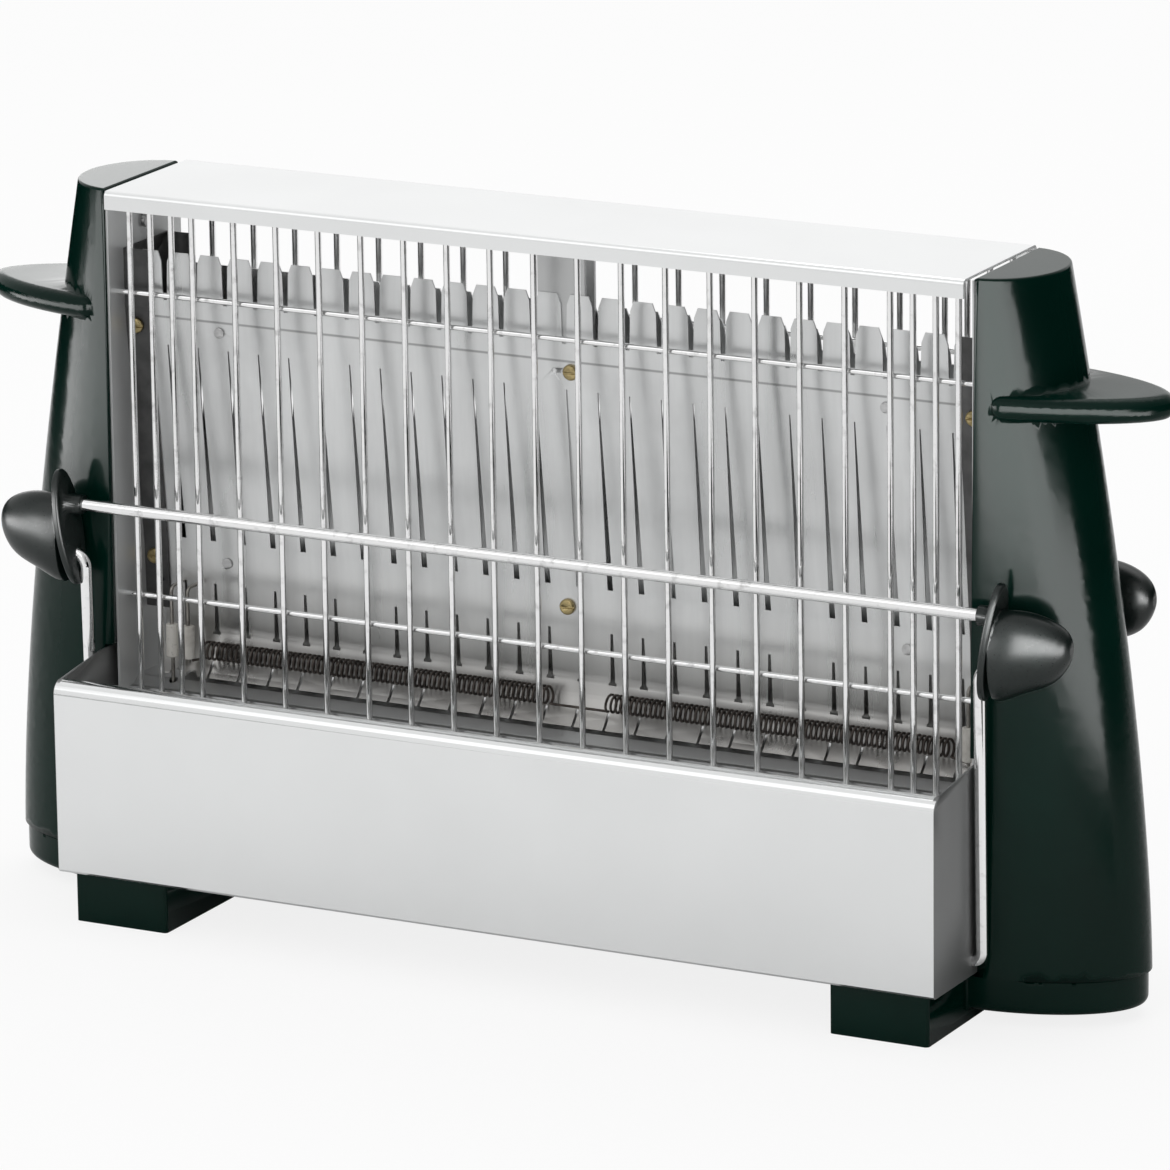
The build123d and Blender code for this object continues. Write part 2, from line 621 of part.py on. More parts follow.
def make_rail():
    """Right rail: a dark channel in front of both reflectors' ends, with its web on the end plate."""
    heights = [COMB_TOP, COMB_FOLD, LEAN_FOOT, RAIL_FOOT]
    width = PLATE_INNER_X - RAIL_INNER_X
    front = folded_strip(heights, -RAIL_SHEET, 0.0, RAIL_INNER_X, width)
    web_outline = [(-face_y(z), z) for z in heights] + [(face_y(z), z) for z in reversed(heights)]
    web = along_x(yz_face(web_outline), PLATE_INNER_X - RAIL_SHEET, RAIL_SHEET)
    for z in (SCREW_HIGH, SCREW_LOW):
        front -= face_rod(RAIL_SCREW_X, z, -DRILL, DRILL, SCREW_RADIUS)
    front -= rod((RIGHT_LEAD_X, 0, LEAD_CROSSING), (RIGHT_LEAD_X, -CUTTER_REACH, LEAD_CROSSING), LEAD_WIRE)
    return front + rear_of(front) + web


def make_strap():
    """Hanger strap: an upturned U from the cover down behind the middle of both reflectors."""
    top = Pos(STRAP_X, 0, COVER_UNDERSIDE - STRAP_SHEET / 2) * Box(
        2 * STRAP_HALF_WIDTH, 2 * (COMB_Y - REFLECTOR_SHEET), STRAP_SHEET
    )
    front = strap_leg(STRAP_X, STRAP_HALF_WIDTH, MIDDLE_SCREWS)
    rear = strap_leg(REAR_STRAP_X, REAR_STRAP_HALF_WIDTH, REAR_MIDDLE_SCREWS)
    return front + rear_of(rear) + top


def strap_leg(x, half_width, screws):
    """One leg of the hanger strap, behind the front reflector, with the holes of its screws."""
    t = REFLECTOR_SHEET
    heights = [COVER_UNDERSIDE - STRAP_SHEET, COMB_FOLD, LEAN_FOOT, STRAP_FOOT]
    leg = folded_strip(heights, t, t + STRAP_SHEET, x - half_width, 2 * half_width)
    for screw_x, z in screws:
        leg -= face_rod(screw_x, z, -DRILL, STRAP_SHEET + DRILL, SCREW_RADIUS)
    return leg


def make_screw(x, z, seat):
    """A slotted round-head screw in front of the reflector, its head on a sheet that is seat thick."""
    head = Cylinder(SCREW_HEAD, SCREW_HEAD_HEIGHT, align=(Align.CENTER, Align.CENTER, Align.MIN))
    head = fillet(head.edges().filter_by(GeomType.CIRCLE).sort_by(Axis.Z)[-1], SCREW_DOME)
    head -= Pos(0, 0, SCREW_HEAD_HEIGHT) * Box(2 * SCREW_HEAD, SLOT_WIDTH, 2 * SLOT_DEPTH)
    head = on_face(x, z) * Pos(0, -seat, 0) * Rot(90, 0, 0) * head
    return head + face_rod(x, z, -seat - LAP, SCREW_LENGTH - seat, SCREW_RADIUS)


def make_reflector_screws():
    """All brass screws of both reflectors as one node."""
    rail_screws = [make_screw(x, z, RAIL_SHEET) for x, z in RAIL_SCREWS]
    front = [make_screw(x, z, 0.0) for x, z in MIDDLE_SCREWS]
    rear = [make_screw(x, z, 0.0) for x, z in REAR_MIDDLE_SCREWS]
    return rail_screws + front + [rear_of(s) for s in rail_screws + rear]


def make_rivets():
    """All rivets of both reflectors as one node."""
    t = REFLECTOR_SHEET
    rivets = []
    for x, z in RIVET_PLACES:
        head = face_rod(x, z, -RIVET_HEAD_HEIGHT, 0, RIVET_HEAD)
        tail = face_rod(x, z, t, t + RIVET_HEAD_HEIGHT, RIVET_HEAD)
        rivets.append(head + tail + face_rod(x, z, -LAP, t + LAP, RIVET_RADIUS))
    return rivets + [rear_of(r) for r in rivets]


# Heating coils and wiring
def biarc(start, start_dir, end, end_dir):
    """Two arcs that join two points smoothly with the given directions, or a line if they lie on one."""
    p, q = Vector(*start), Vector(*end)
    s, e = Vector(*start_dir).normalized(), Vector(*end_dir).normalized()
    v = q - p
    if v.normalized().cross(s).length < 1e-6 and v.normalized().cross(e).length < 1e-6:
        return [Line(p, q)]
    a = 2 * (s.dot(e) - 1)
    b = -2 * v.dot(s + e)
    c = v.dot(v)
    if abs(a) < 1e-9:
        d = -c / b
    else:
        d = (-b - math.sqrt(b * b - 4 * a * c)) / (2 * a)
    joint = (p + q + (s - e) * d) * 0.5
    first = TangentArc(p, joint, tangent=s)
    return [first, TangentArc(joint, q, tangent=first % 1)]


def coil_stations():
    """Points and directions along the front coil: tails, two wound stretches and the wire between them."""
    y, z, r = -COIL_Y, COIL_Z, COIL_RADIUS
    tail_z = LEAD_FOOT + COIL_WIRE
    stations = [((LEFT_LEAD_X + LEAD_WIRE, -LEAD_Y, tail_z), (1, 0, 0))]
    for n, (start, end) in enumerate(COIL_STRETCHES):
        pitch = (end - start) / COIL_TURNS
        if n:
            stations.append(((start - r, y - COIL_EXIT, z), (1, 0, 0)))
        for i in range(int(2 * COIL_TURNS) + 1):
            angle = math.pi * i - math.pi / 2
            place = (start + pitch * i / 2, y + r * math.cos(angle), z + r * math.sin(angle))
            heading = (pitch / (2 * math.pi), -r * math.sin(angle), r * math.cos(angle))
            stations.append((place, heading))
        if not n:
            stations.append(((end + r, y - COIL_EXIT, z), (1, 0, 0)))
    stations.append(((RIGHT_LEAD_X - LEAD_WIRE, -LEAD_Y, tail_z), (1, 0, 0)))
    return stations


def make_coil():
    """Front heating coil: one wire with two wound stretches."""
    stations = coil_stations()
    pieces = []
    for (p, s), (q, e) in zip(stations, stations[1:]):
        pieces += biarc(p, s, q, e)
    path = Wire(pieces)
    coil = sweep(Plane(path @ 0, z_dir=path % 0) * Circle(COIL_WIRE), path=path)
    print("coil least gap to itself, mm:", round(least_gap(path), 2))
    return coil


def least_gap(path):
    """Least gap between stretches of the wire that lie more than half a turn apart along it."""
    count = 1400
    points = [path @ (i / count) for i in range(count + 1)]
    reach = int(count * math.pi * COIL_RADIUS / path.length)
    least = 1000.0
    for i, p in enumerate(points):
        for q in points[i + reach : i + 6 * reach]:
            least = min(least, (p - q).length)
    return least - 2 * COIL_WIRE


def make_bead(x):
    """A ceramic bead on an upright lead in front of the reflector."""
    bead = rod((x, -LEAD_Y, BEAD_FOOT), (x, -LEAD_Y, BEAD_TOP), BEAD_RADIUS)
    bead = fillet(bead.edges().filter_by(GeomType.CIRCLE), BEAD_EDGE)
    return bead - rod((x, -LEAD_Y, BEAD_FOOT - DRILL), (x, -LEAD_Y, BEAD_TOP + DRILL), LEAD_WIRE)


def make_crossing_lead(x):
    """A lead that joins the same ends of both coils, up through the beads and across the middle."""
    points = [
        (x, -LEAD_Y, LEAD_FOOT),
        (x, -LEAD_Y, LEAD_CROSSING),
        (x, LEAD_Y, LEAD_CROSSING),
        (x, LEAD_Y, LEAD_FOOT),
    ]
    return bent_rod(points, LEAD_WIRE, LEAD_BEND)


def make_supply_front():
    """Lead from the terminal block up to the left crossing lead."""
    entry_x = BLOCK_X - BLOCK_LENGTH / 2
    entry_z = FLOOR_TOP + BLOCK_ENTRY_RISE
    points = [
        (entry_x, -BLOCK_ENTRY_Y, entry_z),
        (entry_x - BLOCK_ENTRY_RUN, -BLOCK_ENTRY_Y, entry_z),
        (SUPPLY_X, -LEAD_Y, entry_z),
        (SUPPLY_X, -LEAD_Y, LEAD_CROSSING),
        (SUPPLY_X, 0, LEAD_CROSSING),
        (LEFT_LEAD_X - LEAD_WIRE, 0, LEAD_CROSSING),
    ]
    return bent_rod(points, LEAD_WIRE, LEAD_BEND)


def make_supply_rear():
    """Lead from the terminal block up behind, then between the reflectors to the right crossing lead."""
    entry_x = BLOCK_X - BLOCK_LENGTH / 2
    entry_z = FLOOR_TOP + BLOCK_ENTRY_RISE
    points = [
        (entry_x, BLOCK_ENTRY_Y, entry_z),
        (entry_x - BLOCK_ENTRY_RUN, BLOCK_ENTRY_Y, entry_z),
        (SUPPLY_X, LEAD_Y, entry_z),
        (SUPPLY_X, LEAD_Y, SUPPLY_CROSSING),
        (SUPPLY_X, 0, SUPPLY_CROSSING),
        (RIGHT_LEAD_X, 0, SUPPLY_CROSSING),
        (RIGHT_LEAD_X, 0, LEAD_CROSSING + LEAD_WIRE),
    ]
    return bent_rod(points, LEAD_WIRE, LEAD_BEND)


def make_terminal_block():
    """Ceramic block with two terminal screws' recesses and entries for the leads and the cord."""
    block = Pos(BLOCK_X, 0, FLOOR_TOP + BLOCK_HEIGHT / 2) * Box(BLOCK_LENGTH, BLOCK_WIDTH, BLOCK_HEIGHT)
    block = fillet(block.edges().filter_by(Axis.Z), BLOCK_EDGE)
    for y in (-BLOCK_ENTRY_Y, BLOCK_ENTRY_Y):
        for x in (BLOCK_X - TERMINAL_X, BLOCK_X + TERMINAL_X):
            block -= Pos(x, y, FLOOR_TOP + BLOCK_HEIGHT) * Cylinder(TERMINAL_RADIUS, 2 * TERMINAL_RECESS)
    return block


def make_terminal_screws():
    """The four screws of the terminal block as one node."""
    screws = []
    for y in (-BLOCK_ENTRY_Y, BLOCK_ENTRY_Y):
        for x in (BLOCK_X - TERMINAL_X, BLOCK_X + TERMINAL_X):
            seat = FLOOR_TOP + BLOCK_HEIGHT - TERMINAL_RECESS
            screw = rod((x, y, seat), (x, y, seat + TERMINAL_HEIGHT), TERMINAL_RADIUS)
            slot = Box(3 * TERMINAL_RADIUS, SLOT_WIDTH, 2 * SLOT_DEPTH)
            screws.append(screw - Pos(x, y, seat + TERMINAL_HEIGHT) * slot)
    return screws


def make_gland():
    """Cord gland: a grommet in the bottom plate, with a collar on each face of the sheet."""
    foot = FLOOR_TOP - SHEET
    outside = rod((GLAND_X, 0, foot - GLAND_OUTSIDE), (GLAND_X, 0, foot), GLAND_RADIUS)
    outside = fillet(outside.edges().filter_by(GeomType.CIRCLE).sort_by(Axis.Z)[0], GLAND_EDGE)
    neck = rod((GLAND_X, 0, foot - LAP), (GLAND_X, 0, FLOOR_TOP + LAP), GLAND_NECK)
    inside = rod((GLAND_X, 0, FLOOR_TOP), (GLAND_X, 0, FLOOR_TOP + GLAND_INSIDE), GLAND_RADIUS)
    bore = rod((GLAND_X, 0, 0), (GLAND_X, 0, 2 * FLOOR_TOP), GLAND_BORE)
    return outside + neck + inside - bore


def make_cap_screws():
    """The four screws that hold the caps to the end plates as one node."""
    screws = []
    for z in BOSS_HEIGHTS:
        head = rod((PLATE_INNER_X - SCREW_HEAD_HEIGHT, 0, z), (PLATE_INNER_X, 0, z), SCREW_HEAD)
        shank = rod((PLATE_INNER_X - LAP, 0, z), (PLATE_OUTER_X + BOSS_SHANK, 0, z), SCREW_RADIUS)
        screws.append(head + shank)
    return screws + [left_of(s) for s in screws]


def make_base_screws():
    """The four screws that hold the bases to the bottom plate as one node."""
    screws = []
    for x in (-BASE_SCREW_X, BASE_SCREW_X):
        for y in (-BASE_SCREW_Y, BASE_SCREW_Y):
            seat = BASE_SCREW_HEAD_Z + BASE_SCREW_HEAD_HEIGHT
            head = rod((x, y, BASE_SCREW_HEAD_Z), (x, y, seat), BASE_SCREW_HEAD)
            screws.append(head + rod((x, y, seat - LAP), (x, y, BASE_SCREW_TIP), BASE_SCREW_RADIUS))
    return screws


# Holders and knobs
def holder_y(z):
    """Distance of the holder's leg from the middle plane at a height."""
    return PIVOT_Y + HOLDER_LEAN * (z - PIVOT_Z) / (BAR_Z - PIVOT_Z)


def make_holder_wire():
    """Front holder: one bent wire from pivot to pivot through both knobs."""
    bar_y = -holder_y(BAR_Z)
    turn_y = -holder_y(LEG_TURN_Z)
    right = [
        (LOOP_X, bar_y, BAR_Z),
        (LOOP_X, turn_y, LEG_TURN_Z),
        (LEG_X, turn_y, LEG_TURN_Z),
        (LEG_X, -PIVOT_Y, PIVOT_Z),
        (PIVOT_END_X, -PIVOT_Y, PIVOT_Z),
    ]
    points = [(-x, y, z) for x, y, z in reversed(right)] + right
    bends = [PIVOT_BEND, LEG_BEND, LOOP_BEND, LOOP_BEND]
    path = FilletPolyline(*points, radius=bends + bends[::-1])
    return sweep(Plane(path @ 0, z_dir=path % 0) * Circle(HOLDER_WIRE), path=path)


def make_knob(wire):
    """Front right knob: tilted oval flange with an egg-shaped grip, moulded round the holder wire."""
    tilted = Pos(FLANGE_X, -FLANGE_Y, FLANGE_Z) * Rot(0, 90 + FLANGE_TILT, 0)
    flange = Ellipse(FLANGE_HALF_HEIGHT, FLANGE_HALF_DEPTH)
    flange = Pos(0, 0, -FLANGE_THICKNESS / 2) * extrude(flange, FLANGE_THICKNESS)
    flange = tilted * fillet(flange.edges(), FLANGE_EDGE)
    sections = []
    for x, top, under, half_depth, y in GRIP_STATIONS:
        plane = Plane((x, -y, (top + under) / 2), x_dir=(0, 1, 0), z_dir=(1, 0, 0))
        sections.append(plane * Ellipse(half_depth, (top - under) / 2))
    grip = loft(sections)
    bar_y = -holder_y(BAR_Z)
    near = FLANGE_X - KNOB_LAP
    far = FLANGE_X + KNOB_LAP
    collar = rod((near - KNOB_COLLAR_LENGTH, bar_y, BAR_Z), (far, bar_y, BAR_Z), KNOB_COLLAR)
    turn_y = -holder_y(LEG_TURN_Z)
    boss = rod((near, turn_y, LEG_TURN_Z), (far, turn_y, LEG_TURN_Z), KNOB_COLLAR)
    return flange + grip + collar + boss - wire


# Build every node and write one STEP file for each
def as_solid(shape):
    """The one solid of a shape, or a compound of its solids."""
    if isinstance(shape, list):
        solids = [s for part in shape for s in part.solids()]
    else:
        solids = shape.solids()
    return solids[0] if len(solids) == 1 else Compound(children=list(solids))


def main():
    """Build all nodes and export them."""
    os.makedirs("parts", exist_ok=True)
    trough = make_trough()
    end_plate = make_end_plate()
    cap = make_cap()
    base = make_base()
    guard = make_guard()
    dimple = face_rod(DIMPLE_X, SCREW_HIGH, -DRILL, DIMPLE_DEPTH, DIMPLE_RADIUS)
    rail = make_rail()
    coil = make_coil()
    wire = make_holder_wire()
    knob = make_knob(wire)
    beads = [make_bead(x) for x in LEADS_X]
    gland = make_gland()
    nodes = {
        "trough_front": trough,
        "trough_rear": rear_of(trough),
        "bottom_plate": make_bottom_plate(),
        "heater_tray": make_tray(),
        "end_plate_right": end_plate,
        "end_plate_left": left_of(end_plate),
        "top_cover": make_cover(),
        "end_cap_right": cap,
        "end_cap_left": left_of(cap),
        "base_right": base,
        "base_left": left_of(base),
        "guard_front": guard,
        "guard_rear": rear_of(guard),
        "reflector_front": make_reflector(COMB_TOP, MIDDLE_SCREWS) - dimple,
        "reflector_rear": rear_of(make_reflector(REAR_COMB_TOP, REAR_MIDDLE_SCREWS)),
        "reflector_rail_right": rail,
        "reflector_rail_left": left_of(rail),
        "hanger_strap": make_strap(),
        "reflector_screws": make_reflector_screws(),
        "reflector_rivets": make_rivets(),
        "heating_coil_front": coil,
        "heating_coil_rear": rear_of(coil),
        "ceramic_beads_front": beads,
        "ceramic_beads_rear": [rear_of(b) for b in beads],
        "crossing_lead_left": make_crossing_lead(LEFT_LEAD_X),
        "crossing_lead_right": make_crossing_lead(RIGHT_LEAD_X),
        "supply_lead_front": make_supply_front(),
        "supply_lead_rear": make_supply_rear(),
        "terminal_block": make_terminal_block(),
        "terminal_screws": make_terminal_screws(),
        "cord_gland": gland,
        "cap_screws": make_cap_screws(),
        "base_screws": make_base_screws(),
        "holder_wire_front": wire,
        "holder_wire_rear": rear_of(wire),
        "knob_front_right": knob,
        "knob_front_left": left_of(knob),
        "knob_rear_right": rear_of(knob),
        "knob_rear_left": rear_of(left_of(knob)),
    }
    for name, shape in nodes.items():
        solid = as_solid(shape)
        export_step(solid, f"parts/{name}.step")
        box = solid.bounding_box()
        print(name, len(shape if isinstance(shape, list) else shape.solids()), box.min, box.max)


main()
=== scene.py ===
"""An open-sided toaster with two bread troughs, dressed for a studio picture.

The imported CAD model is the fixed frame. Each operator below dresses one group of its pieces, and the last one sets the
stage. Everything is in metres, in the CAD model's own frame: X along the toaster, -Y towards the front, Z up.
"""

import json
import math

import bpy
import bmesh
from mathutils import Matrix, Vector

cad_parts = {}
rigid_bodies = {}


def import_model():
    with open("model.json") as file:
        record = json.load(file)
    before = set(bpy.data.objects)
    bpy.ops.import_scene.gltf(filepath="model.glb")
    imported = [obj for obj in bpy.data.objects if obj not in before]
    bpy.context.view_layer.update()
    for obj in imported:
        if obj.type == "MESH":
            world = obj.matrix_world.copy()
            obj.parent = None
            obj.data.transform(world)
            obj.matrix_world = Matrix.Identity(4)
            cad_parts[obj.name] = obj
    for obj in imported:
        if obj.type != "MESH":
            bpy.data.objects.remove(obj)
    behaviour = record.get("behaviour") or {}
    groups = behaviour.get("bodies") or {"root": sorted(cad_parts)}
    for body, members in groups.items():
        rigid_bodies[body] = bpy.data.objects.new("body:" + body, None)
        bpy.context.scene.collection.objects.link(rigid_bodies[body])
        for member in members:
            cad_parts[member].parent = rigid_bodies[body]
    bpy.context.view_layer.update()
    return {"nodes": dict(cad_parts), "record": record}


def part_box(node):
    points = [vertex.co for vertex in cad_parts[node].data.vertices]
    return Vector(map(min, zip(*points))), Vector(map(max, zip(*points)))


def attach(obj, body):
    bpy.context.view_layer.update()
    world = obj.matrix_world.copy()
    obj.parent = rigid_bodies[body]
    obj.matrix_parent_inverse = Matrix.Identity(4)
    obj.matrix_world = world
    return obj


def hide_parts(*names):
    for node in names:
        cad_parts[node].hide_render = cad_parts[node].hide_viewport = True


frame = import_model()

bl_info = {
    "name": "Two-sided toaster",
    "version": (1, 0, 0),
    "blender": (4, 5, 0),
    "location": "3D View > Sidebar > Toaster",
    "description": "Builds the looks of a two-sided toaster on its packed CAD frame",
    "category": "Object",
}

MM = 0.001
FRAME_BODY = "toaster_frame"
HOLDER_BODIES = {"front": "front_holder", "rear": "rear_holder"}
SIDES = {"front": -1.0, "rear": 1.0}
ENDS = {"left": -1.0, "right": 1.0}

# Camera of the photograph, fitted to the toaster's seams and wires
PHOTO_WIDTH = 1170
AZIMUTH = math.radians(27.5995)
ELEVATION = math.radians(15.2256)
ROLL = math.radians(-0.7097)
FOCAL_PIXELS = 8084.9
DISTANCE = 2.4667
TARGET = Vector((0.0062376, 0.0, 0.1127077))
SENSOR = 36.0
CLIP_END = 50.0


def node_box(name):
    """Lowest and highest corner of a CAD node as vectors."""
    low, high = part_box(name)
    return Vector(low), Vector(high)


# Guards: upright wires in the wide row and in each close row beside it, and the heights of the cross wires
GUARD_LOW, GUARD_HIGH = node_box("guard_front")
WIDE_WIRES = 15
CLOSE_WIRES = 4
CROSS_HEIGHTS = (97.2 * MM, 193.8 * MM)

# Heating coils: X of the two wound stretches, and how finely the wire is drawn
COIL_SPANS = ((-122.5 * MM, -1.0 * MM), (19.0 * MM, 134.0 * MM))
STEPS_PER_TURN = 14
COIL_SIDES = 8
COIL_UNEVENNESS = 0.35 * MM
UNEVENNESS_SCALE = 260.0

# Troughs: their ends, how deep the painted shade on the rougher end skin and on the end walls goes, and the depth
# where the outer panel begins
TROUGH_END = node_box("trough_front")[1].x
END_SKIN = 0.2 * MM
END_WALL = 1.3 * MM
END_FADE = 0.1 * MM
PANEL_DEPTH = (54.5 * MM, 55 * MM)

# Reflectors: the height of the fold below their combs, where a line of painted shade runs, half that line's width from
# its core to its edge, and the heights over which they turn darker towards the bottom
CREASE_HEIGHT = 185.7 * MM
CREASE_SHADE_WIDTH = (0.2 * MM, 0.5 * MM)
DARKER_LOW_DOWN = (0.075, 0.112)


# Settings

class ToasterSizes(bpy.types.PropertyGroup):
    """Sizes of the pieces that the scene builds itself."""

    guard_pitch: bpy.props.FloatProperty(
        name="Guard pitch", description="Distance between the wide-spaced upright wires",
        default=14.8 * MM, unit="LENGTH")
    guard_wire: bpy.props.FloatProperty(
        name="Guard wire", description="Radius of the guards' upright wires", default=1.0 * MM, unit="LENGTH")
    guard_cross: bpy.props.FloatProperty(
        name="Cross wire", description="Radius of the guards' cross wires", default=0.9 * MM, unit="LENGTH")
    wire_sides: bpy.props.IntProperty(
        name="Wire sides", description="Number of sides of every round wire", default=20, min=8, max=48)
    coil_radius: bpy.props.FloatProperty(
        name="Coil radius", description="Radius of the heating coil's winding", default=2.7 * MM, unit="LENGTH")
    coil_wire: bpy.props.FloatProperty(
        name="Coil wire", description="Radius of the resistance wire", default=0.42 * MM, unit="LENGTH")
    coil_pitch: bpy.props.FloatProperty(
        name="Coil pitch", description="Distance between the turns of a heating coil", default=1.7 * MM, unit="LENGTH")


class ToasterFinishes(bpy.types.PropertyGroup):
    """Colours of the finishes."""

    sheet: bpy.props.FloatVectorProperty(
        name="Bright sheet", description="Colour of the polished sheet steel", subtype="COLOR", size=3,
        default=(0.87, 0.88, 0.88), min=0, max=1)
    reflector: bpy.props.FloatVectorProperty(
        name="Reflector", description="Colour of the aluminised reflectors", subtype="COLOR", size=3,
        default=(0.8, 0.81, 0.81), min=0, max=1)
    moulding: bpy.props.FloatVectorProperty(
        name="Moulding", description="Colour of the caps and bases", subtype="COLOR", size=3,
        default=(0.0005, 0.0115, 0.0078), min=0, max=1)
    knob: bpy.props.FloatVectorProperty(
        name="Knob", description="Colour of the finger knobs", subtype="COLOR", size=3,
        default=(0.0008, 0.005, 0.004), min=0, max=1)
    backdrop: bpy.props.FloatProperty(
        name="Backdrop", description="How pale the floor and backdrop are", default=0.9, min=0, max=1,
        subtype="FACTOR")


# Materials

def is_socket(source):
    """Whether a source is a node's output and not a plain value."""
    return hasattr(source, "is_linked")


def add_node(tree, kind, links=(), **settings):
    """A new node with settings, and links as (input, value or output socket) pairs."""
    made = tree.nodes.new(kind)
    for name, value in settings.items():
        setattr(made, name, value)
    for place, source in links:
        if is_socket(source):
            tree.links.new(source, made.inputs[place])
        else:
            made.inputs[place].default_value = source
    return made


def range_links(value, low, high, out_low, out_high):
    """The inputs of a Map Range node."""
    return [("Value", value), ("From Min", low), ("From Max", high), ("To Min", out_low), ("To Max", out_high)]


class Shader:
    """A material under construction, with short calls for the nodes that its pattern needs."""

    # Places of the factor, the two colours and the result on a Mix node that mixes colours
    MIX_INPUTS = (0, 6, 7)
    MIX_OUTPUT = 2

    # Range that most values of a noise lie in
    NOISE_RANGE = (0.3, 0.7)

    def __init__(self, name):
        self.material = bpy.data.materials.new(name)
        self.material.use_nodes = True
        self.tree = self.material.node_tree
        self.surface = self.tree.nodes["Principled BSDF"]
        self.coordinates = self.tree.nodes.new("ShaderNodeTexCoord").outputs["Object"]

    def set(self, **values):
        """Plain values on the surface shader's own sockets."""
        for name, value in values.items():
            self.surface.inputs[name.replace("_", " ")].default_value = value

    def node(self, kind, links=(), **settings):
        """A new node in this material."""
        return add_node(self.tree, kind, links, **settings)

    def maths(self, operation, *values):
        """The result of a Math node."""
        return self.node("ShaderNodeMath", enumerate(values), operation=operation).outputs[0]

    def axes(self):
        """The object coordinates apart, by their letters."""
        return self.node("ShaderNodeSeparateXYZ", [("Vector", self.coordinates)]).outputs

    def noise(self, scale, stretch=(1, 1, 1), detail=4.0, rough=0.55):
        """Noise on object coordinates, stretched per axis."""
        mapping = self.node("ShaderNodeMapping", [("Vector", self.coordinates), ("Scale", stretch)])
        links = [("Vector", mapping.outputs["Vector"]), ("Scale", scale), ("Detail", detail), ("Roughness", rough)]
        return self.node("ShaderNodeTexNoise", links).outputs["Fac"]

    def span(self, value, low, high, out_low, out_high):
        """A value mapped from one range to another, held at its ends."""
        return self.node("ShaderNodeMapRange", range_links(value, low, high, out_low, out_high)).outputs["Result"]

    def spread(self, noise, low, high):
        """A noise spread over a range."""
        return self.span(noise, *self.NOISE_RANGE, low, high)

    def blend(self, amount, first, second):
        """A colour between two colours."""
        colours = [source if is_socket(source) else (*source, 1.0) for source in (first, second)]
        links = zip(self.MIX_INPUTS, (amount, *colours))
        return self.node("ShaderNodeMix", links, data_type="RGBA").outputs[self.MIX_OUTPUT]

    def join(self, name, source):
        """Link a pattern to one of the surface's sockets."""
        self.tree.links.new(source, self.surface.inputs[name])

    def bump(self, height, strength, distance=0.0002):
        """A fine relief on the surface."""
        links = [("Height", height), ("Strength", strength), ("Distance", distance)]
        self.join("Normal", self.node("ShaderNodeBump", links).outputs["Normal"])


def shade(colour, factor):
    """A colour made darker or lighter."""
    return tuple(min(1.0, c * factor) for c in colour)


def bright_sheet(name, colour, roughness, grain=(3, 60, 60), relief=0.008, shaded_ends=None, metallic=1.0):
    """Sheet steel with a faint rolling grain and soft cloudiness; where its ends are folded over it is rougher and
    carries painted shade.
    """
    shader = Shader(name)
    shader.set(Metallic=metallic)
    cloud = shader.noise(22.0)
    fine = shader.noise(40.0, grain, 3.0)
    tone = shader.blend(shader.spread(cloud, 0, 1), shade(colour, 0.96), colour)
    dull = shader.spread(fine, roughness * 0.92, roughness * 1.08)
    if shaded_ends:
        axes = shader.axes()
        across = shader.maths("ABSOLUTE", axes["X"])
        deep = shader.maths("ABSOLUTE", axes["Y"])
        skin, wall = (
            shader.span(across, shaded_ends - depth, shaded_ends - depth + END_FADE, 0, 1)
            for depth in (END_SKIN, END_WALL))
        behind_panel = shader.span(deep, *PANEL_DEPTH, 1, 0)
        end_shade = shader.maths("MAXIMUM", skin, shader.maths("MULTIPLY", wall, behind_panel))
        # painted shade: the end faces and the end walls behind the panel are darkened to about a third of the sheet's
        # colour; the rougher finish below is the real dullness there
        tone = shader.blend(end_shade, tone, shade(colour, 0.36))
        dull = shader.span(end_shade, 0, 1, dull, 0.55)
    shader.join("Base Color", tone)
    shader.join("Roughness", dull)
    shader.bump(fine, relief, 0.00005)
    return shader.material


def chromed_wire(name, colour, roughness):
    """Chromed round wire with faint drawing marks and a few dull spots."""
    shader = Shader(name)
    shader.set(Metallic=1.0)
    spots = shader.noise(260.0, detail=6.0)
    shader.join("Base Color", shader.blend(shader.span(spots, 0.55, 0.72, 0, 1), colour, shade(colour, 0.7)))
    marks = shader.noise(90.0, (1, 1, 0.2))
    shader.join("Roughness", shader.spread(marks, roughness * 0.7, roughness * 1.5))
    shader.bump(marks, 0.04, 0.00005)
    return shader.material


def reflector_sheet(name, colour):
    """Aluminised sheet with upright streaks, darker patches, darker towards the bottom, and a line of painted shade
    along the fold.
    """
    shader = Shader(name)
    shader.set(Metallic=1.0)
    streak = shader.noise(70.0, (1, 1, 0.06), 5.0)
    patch = shader.noise(16.0, detail=5.0)
    streaked = shader.blend(shader.span(streak, 0.32, 0.7, 0, 1), shade(colour, 0.72), colour)
    height = shader.axes()["Z"]
    # darker towards the bottom
    low_down = shader.span(height, *DARKER_LOW_DOWN, 1.0, 0.0)
    darker_low = shader.blend(low_down, streaked, shade((0.6, 0.59, 0.57), 0.8))
    aged = shader.blend(shader.span(patch, 0.5, 0.75, 0, 0.6), darker_low, shade(colour, 0.6))
    # painted shade: a dark line along the fold below the comb, where shade falls
    off_crease = shader.maths("ABSOLUTE", shader.maths("SUBTRACT", height, CREASE_HEIGHT))
    crease_shade = shader.span(off_crease, *CREASE_SHADE_WIDTH, 0.6, 0.0)
    shader.join("Base Color", shader.blend(crease_shade, aged, shade(colour, 0.2)))
    shader.join("Roughness", shader.spread(streak, 0.22, 0.4))
    shader.bump(shader.noise(45.0, (1, 1, 0.3), 6.0), 0.16, 0.0003)
    return shader.material


